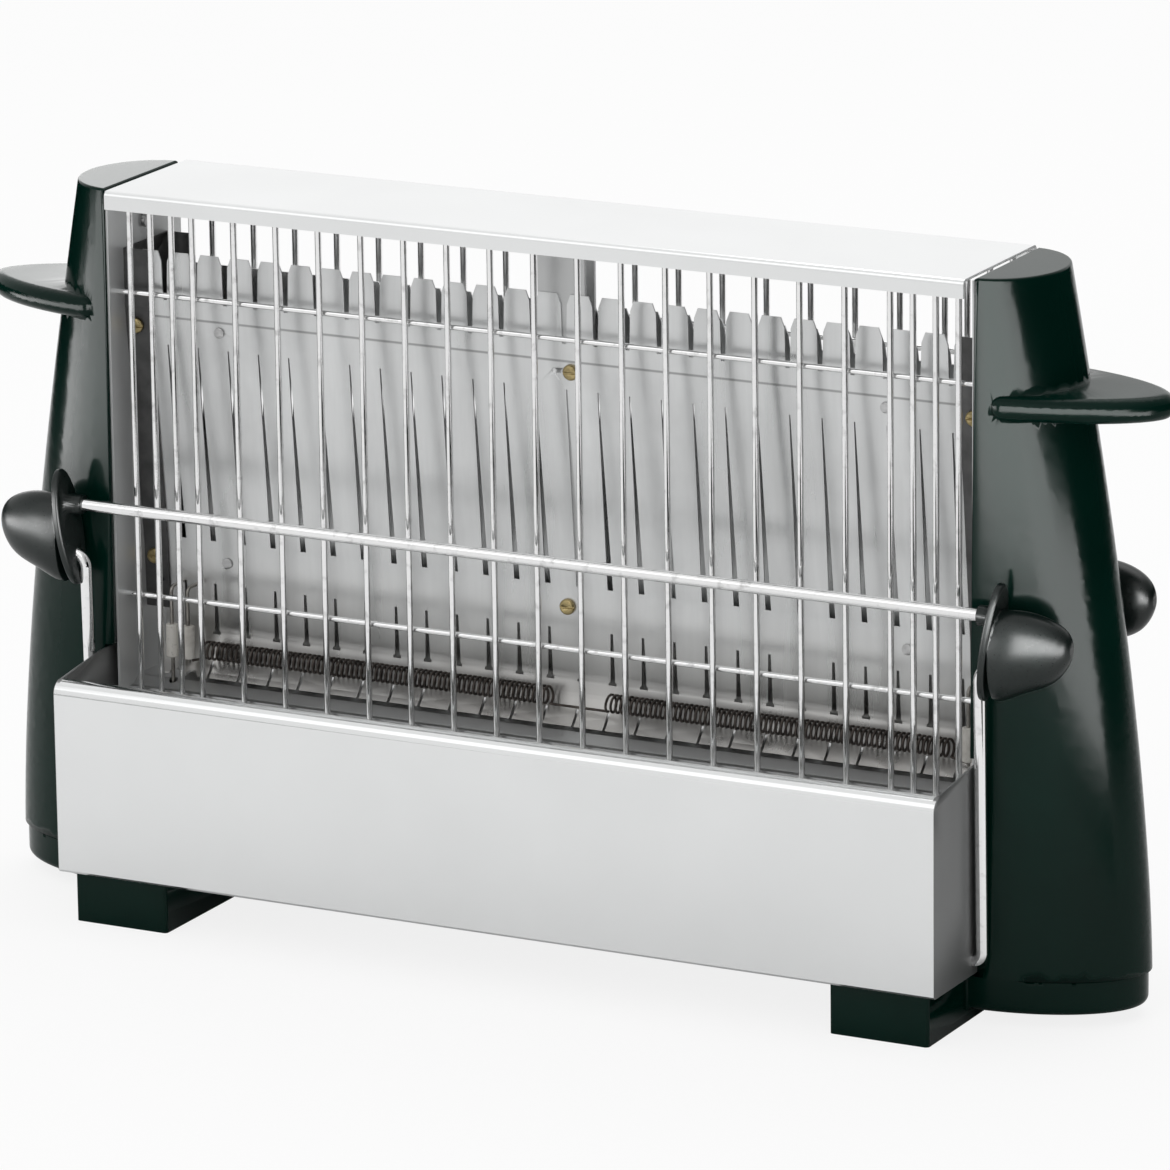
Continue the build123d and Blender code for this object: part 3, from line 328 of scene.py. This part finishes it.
def dark_moulding(name, colour, roughness, grain=0.012, specular=0.12):
    """Dark moulded plastic with a very fine grain."""
    shader = Shader(name)
    shader.set(Metallic=0.0, Specular_IOR_Level=specular)
    cloud = shader.noise(30.0)
    shader.join("Base Color", shader.blend(shader.spread(cloud, 0, 1), colour, shade(colour, 1.3)))
    fine = shader.noise(1500.0, detail=2.0)
    shader.join("Roughness", shader.spread(fine, roughness * 0.9, roughness * 1.12))
    shader.bump(fine, grain, 0.00008)
    return shader.material


def worn_metal(name, colour, roughness, metallic=1.0, dark=0.5, scale=120.0):
    """Plain metal with uneven tarnish."""
    shader = Shader(name)
    shader.set(Metallic=metallic)
    tarnish = shader.noise(scale, detail=6.0)
    shader.join("Base Color", shader.blend(shader.span(tarnish, 0.4, 0.7, 0, 1), colour, shade(colour, dark)))
    shader.join("Roughness", shader.spread(tarnish, roughness * 0.8, roughness * 1.3))
    shader.bump(tarnish, 0.1, 0.0001)
    return shader.material


def fired_ceramic(name, colour):
    """Off-white ceramic with small specks and a little soot."""
    shader = Shader(name)
    specks = shader.noise(900.0, detail=2.0)
    soot = shader.noise(120.0, detail=5.0)
    base = shader.blend(shader.span(specks, 0.62, 0.7, 0, 0.5), colour, shade(colour, 0.6))
    shader.join("Base Color", shader.blend(shader.span(soot, 0.5, 0.8, 0, 0.7), base, (0.35, 0.31, 0.27)))
    shader.join("Roughness", shader.spread(soot, 0.35, 0.6))
    return shader.material


def finishes():
    """Every finish of the toaster, by the name of the record's material slot."""
    chosen = bpy.context.scene.toaster_finishes
    sheet = tuple(chosen.sheet)
    return {
        "bright_sheet": bright_sheet("polished_sheet", sheet, 0.16, shaded_ends=TROUGH_END),
        "end_plate": bright_sheet(
            "end_plate_sheet", shade(sheet, 0.75), 0.4, (60, 60, 3), 0.01, metallic=0.45),
        "plain_sheet": bright_sheet("plain_sheet", shade(sheet, 0.6), 0.38, relief=0.03),
        "dark_moulding": dark_moulding("dark_green_moulding", tuple(chosen.moulding), 0.17),
        "chromed_wire": chromed_wire("chromed_wire", (0.92, 0.92, 0.92), 0.07),
        "reflector_sheet": reflector_sheet("aluminised_sheet", tuple(chosen.reflector)),
        "dark_channel": worn_metal("dark_channel", (0.13, 0.13, 0.13), 0.5, 0.9, 0.75),
        "brass": worn_metal("brass", (0.5, 0.4, 0.2), 0.3, dark=0.5, scale=400.0),
        "zinc_steel": worn_metal("zinc_plated_steel", (0.6, 0.6, 0.6), 0.35, dark=0.75, scale=400.0),
        "heater_wire": worn_metal("resistance_wire", (0.11, 0.095, 0.085), 0.5, 0.9, 0.4, 300.0),
        "ceramic": fired_ceramic("fired_ceramic", (0.78, 0.76, 0.71)),
        "lead_wire": worn_metal("nickel_lead", (0.42, 0.4, 0.37), 0.35),
        "grommet": dark_moulding("black_rubber", (0.012, 0.012, 0.012), 0.7, 0.12),
        "knob_moulding": dark_moulding("black_knob_moulding", tuple(chosen.knob), 0.3, 0.01, 0.4),
    }


FINISH = {}


def finish_of(slot):
    """The finish for a material slot, made once."""
    if not FINISH:
        FINISH.update(finishes())
    return FINISH[slot]


SLOT_OF = {part["node"]: part["material_slot"] for part in frame["record"]["subparts"]}


# Pieces

# Least angle of a hard edge, in degrees
SHARP = 35.0
MOULDING_SHARP = 40.0
WIRE_SHARP = 50.0

# Distance under which vertices are joined, and how much large faces lead in the shading
JOIN = 0.0005 * MM
WEIGHT = 50
MOULDING_JOIN = 0.02 * MM
MOULDING_WEIGHT = 98


def new_piece(name, mesh, slot, body, *nodes, sharp=SHARP, finish=None):
    """Put a mesh in the scene as a finished piece that rides on a body and stands for CAD nodes."""
    mesh.name = name
    if sharp is not None:
        mesh.set_sharp_from_angle(angle=math.radians(sharp))
    piece = bpy.data.objects.new(name, mesh)
    bpy.context.scene.collection.objects.link(piece)
    mesh.materials.clear()
    mesh.materials.append(finish_of(finish or slot))
    for polygon in mesh.polygons:
        polygon.use_smooth = True
        polygon.material_index = 0
    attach(piece, body)
    if nodes:
        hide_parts(*nodes)
    return piece


def smooth_copy(node, body, sharp=SHARP, finish=None, join=JOIN, weight=WEIGHT):
    """A CAD node's own shape as a piece with its loose triangles joined and its curves shaded smooth."""
    source = frame["nodes"][node]
    work = bmesh.new()
    work.from_mesh(source.data)
    bmesh.ops.remove_doubles(work, verts=work.verts, dist=join)
    bmesh.ops.dissolve_degenerate(work, edges=work.edges, dist=join)
    mesh = bpy.data.meshes.new(node + "_merged")
    work.to_mesh(mesh)
    work.free()
    mesh = flat_kept(mesh, sharp, weight)
    return new_piece(node + "_dressed", mesh, SLOT_OF[node], body, node, sharp=None, finish=finish)


def flat_kept(mesh, sharp, weight):
    """A mesh whose flat faces stay flat beside rounded edges, by normals weighted with the faces' areas."""
    for polygon in mesh.polygons:
        polygon.use_smooth = True
    mesh.set_sharp_from_angle(angle=math.radians(sharp))
    holder = bpy.data.objects.new(mesh.name, mesh)
    bpy.context.scene.collection.objects.link(holder)
    modifier = holder.modifiers.new("weights", "WEIGHTED_NORMAL")
    modifier.keep_sharp = True
    modifier.weight = weight
    graph = bpy.context.evaluated_depsgraph_get()
    result = bpy.data.meshes.new_from_object(holder.evaluated_get(graph))
    bpy.data.objects.remove(holder)
    return result


class Geometry:
    """A Geometry Nodes tree under construction, with named inputs for its sizes."""

    def __init__(self, name, **inputs):
        self.tree = bpy.data.node_groups.new(name, "GeometryNodeTree")
        self.tree.interface.new_socket("Geometry", in_out="OUTPUT", socket_type="NodeSocketGeometry")
        self.keys = {}
        for label, value in inputs.items():
            kind = {int: "NodeSocketInt", float: "NodeSocketFloat"}.get(type(value), "NodeSocketVector")
            socket = self.tree.interface.new_socket(label, in_out="INPUT", socket_type=kind)
            self.keys[label] = (socket.identifier, value)
        self.group_in = self.tree.nodes.new("NodeGroupInput")
        self.group_out = self.tree.nodes.new("NodeGroupOutput")

    def node(self, kind, links=(), **settings):
        """A new node in this tree, whose links may also name an input of the tree."""
        named = self.group_in.outputs
        links = [(place, named[source] if isinstance(source, str) else source) for place, source in links]
        return add_node(self.tree, kind, links, **settings)

    def vector(self, x=0.0, y=0.0, z=0.0):
        """A vector from three numbers, named inputs or sockets."""
        return self.node("ShaderNodeCombineXYZ", [("X", x), ("Y", y), ("Z", z)]).outputs["Vector"]

    def rod(self, start, end, radius, sides):
        """A closed round rod between two vectors."""
        line = self.node("GeometryNodeCurvePrimitiveLine", [("Start", start), ("End", end)])
        return self.tube(line.outputs["Curve"], radius, sides)

    def tube(self, curve, radius, sides):
        """A closed round tube along a curve."""
        ring = self.node("GeometryNodeCurvePrimitiveCircle", [("Resolution", sides), ("Radius", radius)])
        links = [("Curve", curve), ("Profile Curve", ring.outputs["Curve"]), ("Fill Caps", True)]
        return self.node("GeometryNodeCurveToMesh", links).outputs["Mesh"]

    def row(self, count, start, step):
        """A row of points."""
        links = [("Count", count), ("Start Location", start), ("Offset", step)]
        return self.node("GeometryNodeMeshLine", links).outputs["Mesh"]

    def copies(self, points, piece):
        """A piece repeated on points."""
        links = [("Points", points), ("Instance", piece)]
        return self.node("GeometryNodeInstanceOnPoints", links).outputs["Instances"]

    def together(self, *parts):
        """Several geometries as one."""
        joined = self.node("GeometryNodeJoinGeometry")
        for part in parts:
            self.tree.links.new(part, joined.inputs["Geometry"])
        return joined.outputs["Geometry"]

    def mesh(self, geometry, material):
        """Finish the tree, run it once and give its result as a plain mesh."""
        real = self.node("GeometryNodeRealizeInstances", [("Geometry", geometry)]).outputs["Geometry"]
        done = self.node("GeometryNodeSetMaterial", [("Geometry", real), ("Material", material)])
        self.tree.links.new(done.outputs["Geometry"], self.group_out.inputs["Geometry"])
        holder = bpy.data.objects.new(self.tree.name, bpy.data.meshes.new(self.tree.name))
        bpy.context.scene.collection.objects.link(holder)
        modifier = holder.modifiers.new("shape", "NODES")
        modifier.node_group = self.tree
        for identifier, value in self.keys.values():
            modifier[identifier] = value
        graph = bpy.context.evaluated_depsgraph_get()
        result = bpy.data.meshes.new_from_object(holder.evaluated_get(graph))
        holder.modifiers.remove(modifier)
        bpy.data.objects.remove(holder)
        return result


def guard_mesh(side, sizes):
    """One wire guard: three rows of upright wires and two cross wires behind them."""
    sign = SIDES[side]
    pitch = sizes.guard_pitch
    upright_y = sign * (max(abs(GUARD_LOW.y), abs(GUARD_HIGH.y)) - sizes.guard_wire)
    cross_y = sign * (min(abs(GUARD_LOW.y), abs(GUARD_HIGH.y)) + sizes.guard_cross)
    wide_x = (WIDE_WIRES - 1) / 2 * pitch
    close_x = wide_x + pitch
    build = Geometry(
        "guard_wires_" + side, wire=sizes.guard_wire, cross=sizes.guard_cross, sides=sizes.wire_sides,
        foot=(0.0, upright_y, GUARD_LOW.z), top=(0.0, upright_y, GUARD_HIGH.z))
    upright = build.rod("foot", "top", "wire", "sides")
    rows = [
        build.row(WIDE_WIRES, build.vector(-wide_x), build.vector(pitch)),
        build.row(CLOSE_WIRES, build.vector(close_x), build.vector(pitch / 2)),
        build.row(CLOSE_WIRES, build.vector(-close_x), build.vector(-pitch / 2)),
    ]
    uprights = [build.copies(points, upright) for points in rows]
    crosses = []
    for height in CROSS_HEIGHTS:
        ends = [build.vector(x, cross_y, height) for x in (GUARD_LOW.x, GUARD_HIGH.x)]
        crosses.append(build.rod(*ends, "cross", "sides"))
    return build.mesh(build.together(*uprights, *crosses), finish_of("chromed_wire"))


class TOASTER_OT_guards(bpy.types.Operator):
    """Build both wire guards"""

    bl_idname = "toaster.guards"
    bl_label = "Wire guards"

    def execute(self, context):
        sizes = context.scene.toaster_sizes
        for side in SIDES:
            mesh = guard_mesh(side, sizes)
            new_piece("guard_wires_" + side, mesh, "chromed_wire", FRAME_BODY, "guard_" + side)
        return {"FINISHED"}


class TOASTER_OT_sheet_metal(bpy.types.Operator):
    """Dress the troughs, cover, plates, reflectors, rails and strap"""

    bl_idname = "toaster.sheet_metal"
    bl_label = "Sheet metal"

    def execute(self, context):
        names = [
            "trough_front", "trough_rear", "top_cover", "bottom_plate", "heater_tray", "reflector_front",
            "reflector_rear", "reflector_rail_left", "reflector_rail_right", "hanger_strap",
        ]
        for name in names:
            smooth_copy(name, FRAME_BODY)
        for end in ENDS:
            smooth_copy("end_plate_" + end, FRAME_BODY, finish="end_plate")
        return {"FINISHED"}


class TOASTER_OT_mouldings(bpy.types.Operator):
    """Dress the end caps with their handles, the bases and the grommet"""

    bl_idname = "toaster.mouldings"
    bl_label = "Mouldings"

    def execute(self, context):
        for name in ("end_cap_left", "end_cap_right", "base_left", "base_right", "cord_gland"):
            smooth_copy(name, FRAME_BODY, MOULDING_SHARP, join=MOULDING_JOIN, weight=MOULDING_WEIGHT)
        return {"FINISHED"}


class TOASTER_OT_holders(bpy.types.Operator):
    """Dress the swinging holders with their knobs"""

    bl_idname = "toaster.holders"
    bl_label = "Holders and knobs"

    def execute(self, context):
        for side, body in HOLDER_BODIES.items():
            smooth_copy("holder_wire_" + side, body, WIRE_SHARP)
            for end in ENDS:
                smooth_copy(f"knob_{side}_{end}", body, MOULDING_SHARP)
        return {"FINISHED"}


def coil_mesh(side, sizes):
    """One heating coil: two closely wound stretches, their tails and the straight wire between them."""
    sign = SIDES[side]
    low, high = node_box("heating_coil_" + side)
    outer_radius = sizes.coil_radius + sizes.coil_wire
    y = sign * (min(abs(low.y), abs(high.y)) + outer_radius)
    z = high.z - outer_radius
    build = Geometry(
        "heating_coil_" + side, radius=sizes.coil_radius, wire=sizes.coil_wire, sides=COIL_SIDES,
        unevenness=COIL_UNEVENNESS)
    parts = []
    for start, end in COIL_SPANS:
        turns = round((end - start) / sizes.coil_pitch)
        links = [
            ("Resolution", STEPS_PER_TURN), ("Rotations", float(turns)), ("Start Radius", "radius"),
            ("End Radius", "radius"), ("Height", end - start)]
        spiral = build.node("GeometryNodeCurveSpiral", links).outputs["Curve"]
        place = [("Geometry", spiral), ("Translation", (start, y, z)), ("Rotation", (0.0, math.pi / 2, 0.0))]
        parts.append(build.node("GeometryNodeTransform", place).outputs["Geometry"])
    under_coil = z - sizes.coil_radius
    foot = low.z + sizes.coil_wire
    (left_start, left_end), (right_start, right_end) = COIL_SPANS
    straights = [
        ((low.x, y, foot), (left_start, y, under_coil)),
        ((left_end, y, under_coil), (right_start, y, under_coil)),
        ((right_end, y, under_coil), (high.x, y, foot)),
    ]
    for start, end in straights:
        links = [("Start", start), ("End", end)]
        parts.append(build.node("GeometryNodeCurvePrimitiveLine", links).outputs["Curve"])
    curves = build.together(*parts)
    ripple_links = [("Scale", UNEVENNESS_SCALE), ("Detail", 2.0)]
    ripple = build.node("ShaderNodeTexNoise", ripple_links, noise_dimensions="3D").outputs["Color"]
    centred = build.node("ShaderNodeVectorMath", [(0, ripple), (1, (0.5, 0.5, 0.5))], operation="SUBTRACT")
    shift = build.node("ShaderNodeVectorMath", [(0, centred.outputs[0]), (3, "unevenness")], operation="SCALE")
    moved = build.node("GeometryNodeSetPosition", [("Geometry", curves), ("Offset", shift.outputs[0])])
    return build.mesh(build.tube(moved.outputs["Geometry"], "wire", "sides"), finish_of("heater_wire"))


class TOASTER_OT_heater(bpy.types.Operator):
    """Dress the heating coils, beads, leads and the terminal block"""

    bl_idname = "toaster.heater"
    bl_label = "Heater"

    def execute(self, context):
        sizes = context.scene.toaster_sizes
        for side in SIDES:
            mesh = coil_mesh(side, sizes)
            new_piece("wound_coil_" + side, mesh, "heater_wire", FRAME_BODY, "heating_coil_" + side)
        names = [
            "ceramic_beads_front", "ceramic_beads_rear",
            "crossing_lead_left", "crossing_lead_right", "supply_lead_front", "supply_lead_rear", "terminal_block",
        ]
        for name in names:
            smooth_copy(name, FRAME_BODY)
        return {"FINISHED"}


class TOASTER_OT_fasteners(bpy.types.Operator):
    """Dress every screw and rivet"""

    bl_idname = "toaster.fasteners"
    bl_label = "Screws and rivets"

    def execute(self, context):
        for name in ("reflector_screws", "reflector_rivets", "terminal_screws", "cap_screws", "base_screws"):
            smooth_copy(name, FRAME_BODY)
        return {"FINISHED"}


# Stage

FLOOR_REACH = 12.0

# Share of the floor's even glow in what the camera sees of it, so that it stays pale and still keeps the shadow
FLOOR_GLOW = 0.84

# How the studio's light falls off with the direction: from, to, light at the first, light at the second
DIM_TO_THE_RIGHT = (0.3, 0.8, 1.0, 0.3)
DIM_TO_THE_FRONT = (-0.2, 0.5, 0.84, 1.0)

# Lamps: name, place, size and power
LAMPS = (
    ("front_lamp", (-0.3, -1.4, 1.3), (1.9, 1.0), 2.4),
    ("top_lamp", (0.0, 0.7, 1.9), (1.6, 1.2), 7.0),
)
LAMP_AIM = (0, 0, 0.1)


def make_floor(paleness):
    """A wide pale floor that keeps the toaster's shadow."""
    mesh = bpy.data.meshes.new("floor")
    corners = [(x * FLOOR_REACH, y * FLOOR_REACH, 0) for x, y in ((-1, -1), (1, -1), (1, 1), (-1, 1))]
    mesh.from_pydata(corners, [], [(0, 1, 2, 3)])
    floor = bpy.data.objects.new("floor", mesh)
    bpy.context.scene.collection.objects.link(floor)
    shader = Shader("pale_floor")
    shader.set(Base_Color=(paleness, paleness, paleness, 1), Roughness=0.9, Specular_IOR_Level=0.0)
    glow = shader.node("ShaderNodeEmission", [("Strength", 1.0)]).outputs[0]
    seen = shader.node("ShaderNodeLightPath").outputs["Is Camera Ray"]
    share = shader.maths("MULTIPLY", seen, FLOOR_GLOW)
    mix = shader.node("ShaderNodeMixShader", [(0, share), (1, shader.surface.outputs[0]), (2, glow)])
    shader.tree.links.new(mix.outputs[0], shader.tree.nodes["Material Output"].inputs["Surface"])
    mesh.materials.append(shader.material)


def make_world():
    """A soft studio all round: pale to the back, left and above, dimmer to the right and a little to the front."""
    world = bpy.data.worlds.new("studio")
    bpy.context.scene.world = world
    world.use_nodes = True
    tree = world.node_tree
    direction = add_node(tree, "ShaderNodeTexCoord").outputs["Generated"]
    axes = add_node(tree, "ShaderNodeSeparateXYZ", [(0, direction)]).outputs
    levels = [
        add_node(tree, "ShaderNodeMapRange", range_links(axes[axis], *fall)).outputs[0]
        for axis, fall in (("X", DIM_TO_THE_RIGHT), ("Y", DIM_TO_THE_FRONT))]
    level = add_node(tree, "ShaderNodeMath", enumerate(levels), operation="MULTIPLY").outputs[0]
    seen = add_node(tree, "ShaderNodeLightPath").outputs["Is Camera Ray"]
    bright = add_node(tree, "ShaderNodeMath", [(0, level), (1, seen)], operation="MAXIMUM").outputs[0]
    back = tree.nodes["Background"]
    tree.links.new(bright, back.inputs["Strength"])
    back.inputs["Color"].default_value = (1, 1, 1, 1)


def make_lamp(name, place, aim, size, power):
    """A soft lamp that points at a place."""
    data = bpy.data.lights.new(name, "AREA")
    data.shape = "RECTANGLE"
    data.size, data.size_y = size
    data.energy = power
    lamp = bpy.data.objects.new(name, data)
    direction = Vector(aim) - Vector(place)
    lamp.matrix_world = Matrix.Translation(place) @ direction.to_track_quat("-Z", "Y").to_matrix().to_4x4()
    bpy.context.scene.collection.objects.link(lamp)
    return lamp


def make_card(name, corners):
    """A black card seen only by glossy reflections."""
    mesh = bpy.data.meshes.new(name)
    mesh.from_pydata(corners, [], [tuple(range(len(corners)))])
    card = bpy.data.objects.new(name, mesh)
    bpy.context.scene.collection.objects.link(card)
    shader = Shader(name)
    shader.set(Base_Color=(0, 0, 0, 1), Specular_IOR_Level=0.0)
    mesh.materials.append(shader.material)
    card.visible_camera = False
    card.visible_diffuse = False
    card.visible_shadow = False


# Plan of the soft lights round the ends, seen from above, and the height of their lower edge
RIGHT_LINE = ((0.02, -0.46), (0.37, -0.46), (0.41, -0.08))
LEFT_LINE = ((-0.6, -0.05), (-0.42, -0.36), (-0.25, -0.46))
LIGHT_FOOT = 0.046
RIGHT_GLOW = 15.0
LEFT_GLOW = 11.0

# Level soft lights: name, plan of both ends, lower and upper edge, glow
LEVEL_LIGHTS = (
    ("front_panel", *RIGHT_LINE[:2], LIGHT_FOOT, 0.315, RIGHT_GLOW),
    ("left_front_panel", *LEFT_LINE[1:], LIGHT_FOOT, 0.23, LEFT_GLOW),
    ("back_panel", (-0.3, 0.67), (-0.9, 0.67), 0.2, 0.5, 1.6),
)

# Soft lights with a sloping upper edge, each made of a few upright strips: name, plan, edge at both ends, glow
SLOPING_LIGHTS = (
    ("right_panel", RIGHT_LINE[1:], 0.315, 0.105, RIGHT_GLOW),
    ("left_panel", LEFT_LINE[:2], 0.1, 0.18, LEFT_GLOW),
)
STRIPS = 3

# Black cards: the plan of each card's corners and its height
CARDS = {
    "right_flag": (((0.75, -0.8), (0.75, 0.9), (0.25, 0.9)), 0.35),
    "left_flag": (((-0.8, -0.2), (-0.8, 0.9), (-0.4, 0.9)), 0.24),
    "skirt": (((0.13, -0.461), (0.371, -0.461), (0.411, -0.08)), LIGHT_FOOT),
}
CARD_FOOT = 0.001


def make_cards():
    """Black cards beside and behind both ends, which keep the mouldings' outlines dark, and one below the lights."""
    for name, (line, height) in CARDS.items():
        for i, (start, end) in enumerate(zip(line, line[1:])):
            corners = [(*start, CARD_FOOT), (*end, CARD_FOOT), (*end, height), (*start, height)]
            make_card(f"{name}_{i}", corners)


def light_strips():
    """Every soft light for the mouldings, with the sloping ones cut into strips."""
    strips = list(LEVEL_LIGHTS)
    for name, (start, end), top, last_top, glow in SLOPING_LIGHTS:
        start, end = Vector(start), Vector(end)
        for i in range(STRIPS):
            edges = [start.lerp(end, share / STRIPS) for share in (i, i + 1)]
            height = top + (last_top - top) * (i + 0.5) / STRIPS
            strips.append((f"{name}_{i}", *edges, LIGHT_FOOT, height, glow))
    return strips


def make_moulding_lights():
    """Low soft lights that only the caps, handles and knobs answer to, as broad grey reflections."""
    lit = bpy.data.collections.new("lit_mouldings")
    for thing in bpy.data.objects:
        if thing.name.startswith(("end_cap_", "knob_")) and thing.name.endswith("_dressed"):
            lit.objects.link(thing)
    for name, start, end, low, high, glow in light_strips():
        start, end = Vector(start), Vector(end)
        along = end - start
        middle = ((start + end) / 2).to_3d() + Vector((0, 0, (low + high) / 2))
        facing = Vector((-along.y, along.x, 0)).normalized()
        power = glow * math.pi * along.length * (high - low)
        lamp = make_lamp(name, middle, middle + facing, (along.length, high - low), power)
        lamp.visible_camera = False
        lamp.visible_diffuse = False
        lamp.light_linking.receiver_collection = lit


def make_camera():
    """The photograph's camera."""
    right = Vector((math.cos(AZIMUTH), math.sin(AZIMUTH), 0))
    ahead = Vector((
        -math.sin(AZIMUTH) * math.cos(ELEVATION), math.cos(AZIMUTH) * math.cos(ELEVATION), -math.sin(ELEVATION)))
    up = right.cross(ahead)
    rolled_right = right * math.cos(ROLL) + up * math.sin(ROLL)
    rolled_up = up * math.cos(ROLL) - right * math.sin(ROLL)
    data = bpy.data.cameras.new("camera")
    data.sensor_width = SENSOR
    data.lens = FOCAL_PIXELS * SENSOR / PHOTO_WIDTH
    data.clip_end = CLIP_END
    camera = bpy.data.objects.new("camera", data)
    turn = Matrix((rolled_right, rolled_up, -ahead)).transposed().to_4x4()
    camera.matrix_world = Matrix.Translation(TARGET - ahead * DISTANCE) @ turn
    bpy.context.scene.collection.objects.link(camera)
    bpy.context.scene.camera = camera


class TOASTER_OT_stage(bpy.types.Operator):
    """Set the floor, studio light and camera"""

    bl_idname = "toaster.stage"
    bl_label = "Stage"

    def execute(self, context):
        make_floor(context.scene.toaster_finishes.backdrop)
        make_world()
        for name, place, size, power in LAMPS:
            make_lamp(name, place, LAMP_AIM, size, power)
        make_cards()
        make_moulding_lights()
        make_camera()
        context.scene.view_settings.view_transform = "Standard"
        return {"FINISHED"}


class TOASTER_PT_panel(bpy.types.Panel):
    """Lists the toaster's sizes, finishes and operators"""

    bl_idname = "TOASTER_PT_panel"
    bl_label = "Toaster"
    bl_space_type = "VIEW_3D"
    bl_region_type = "UI"
    bl_category = "Toaster"

    def draw(self, context):
        for group in (context.scene.toaster_sizes, context.scene.toaster_finishes):
            for name in group.bl_rna.properties.keys():
                if name not in ("rna_type", "name"):
                    self.layout.prop(group, name)
        for operator in OPERATORS:
            self.layout.operator(operator.bl_idname)


OPERATORS = (
    TOASTER_OT_guards,
    TOASTER_OT_sheet_metal,
    TOASTER_OT_mouldings,
    TOASTER_OT_holders,
    TOASTER_OT_heater,
    TOASTER_OT_fasteners,
    TOASTER_OT_stage,
)
CLASSES = (ToasterSizes, ToasterFinishes, *OPERATORS, TOASTER_PT_panel)


def register():
    for made in CLASSES:
        bpy.utils.register_class(made)
    bpy.types.Scene.toaster_sizes = bpy.props.PointerProperty(type=ToasterSizes)
    bpy.types.Scene.toaster_finishes = bpy.props.PointerProperty(type=ToasterFinishes)


def unregister():
    del bpy.types.Scene.toaster_finishes
    del bpy.types.Scene.toaster_sizes
    for made in reversed(CLASSES):
        bpy.utils.unregister_class(made)


def main():
    register()
    bpy.ops.toaster.guards()
    bpy.ops.toaster.sheet_metal()
    bpy.ops.toaster.mouldings()
    bpy.ops.toaster.holders()
    bpy.ops.toaster.heater()
    bpy.ops.toaster.fasteners()
    bpy.ops.toaster.stage()


if __name__ == "__main__":
    main()
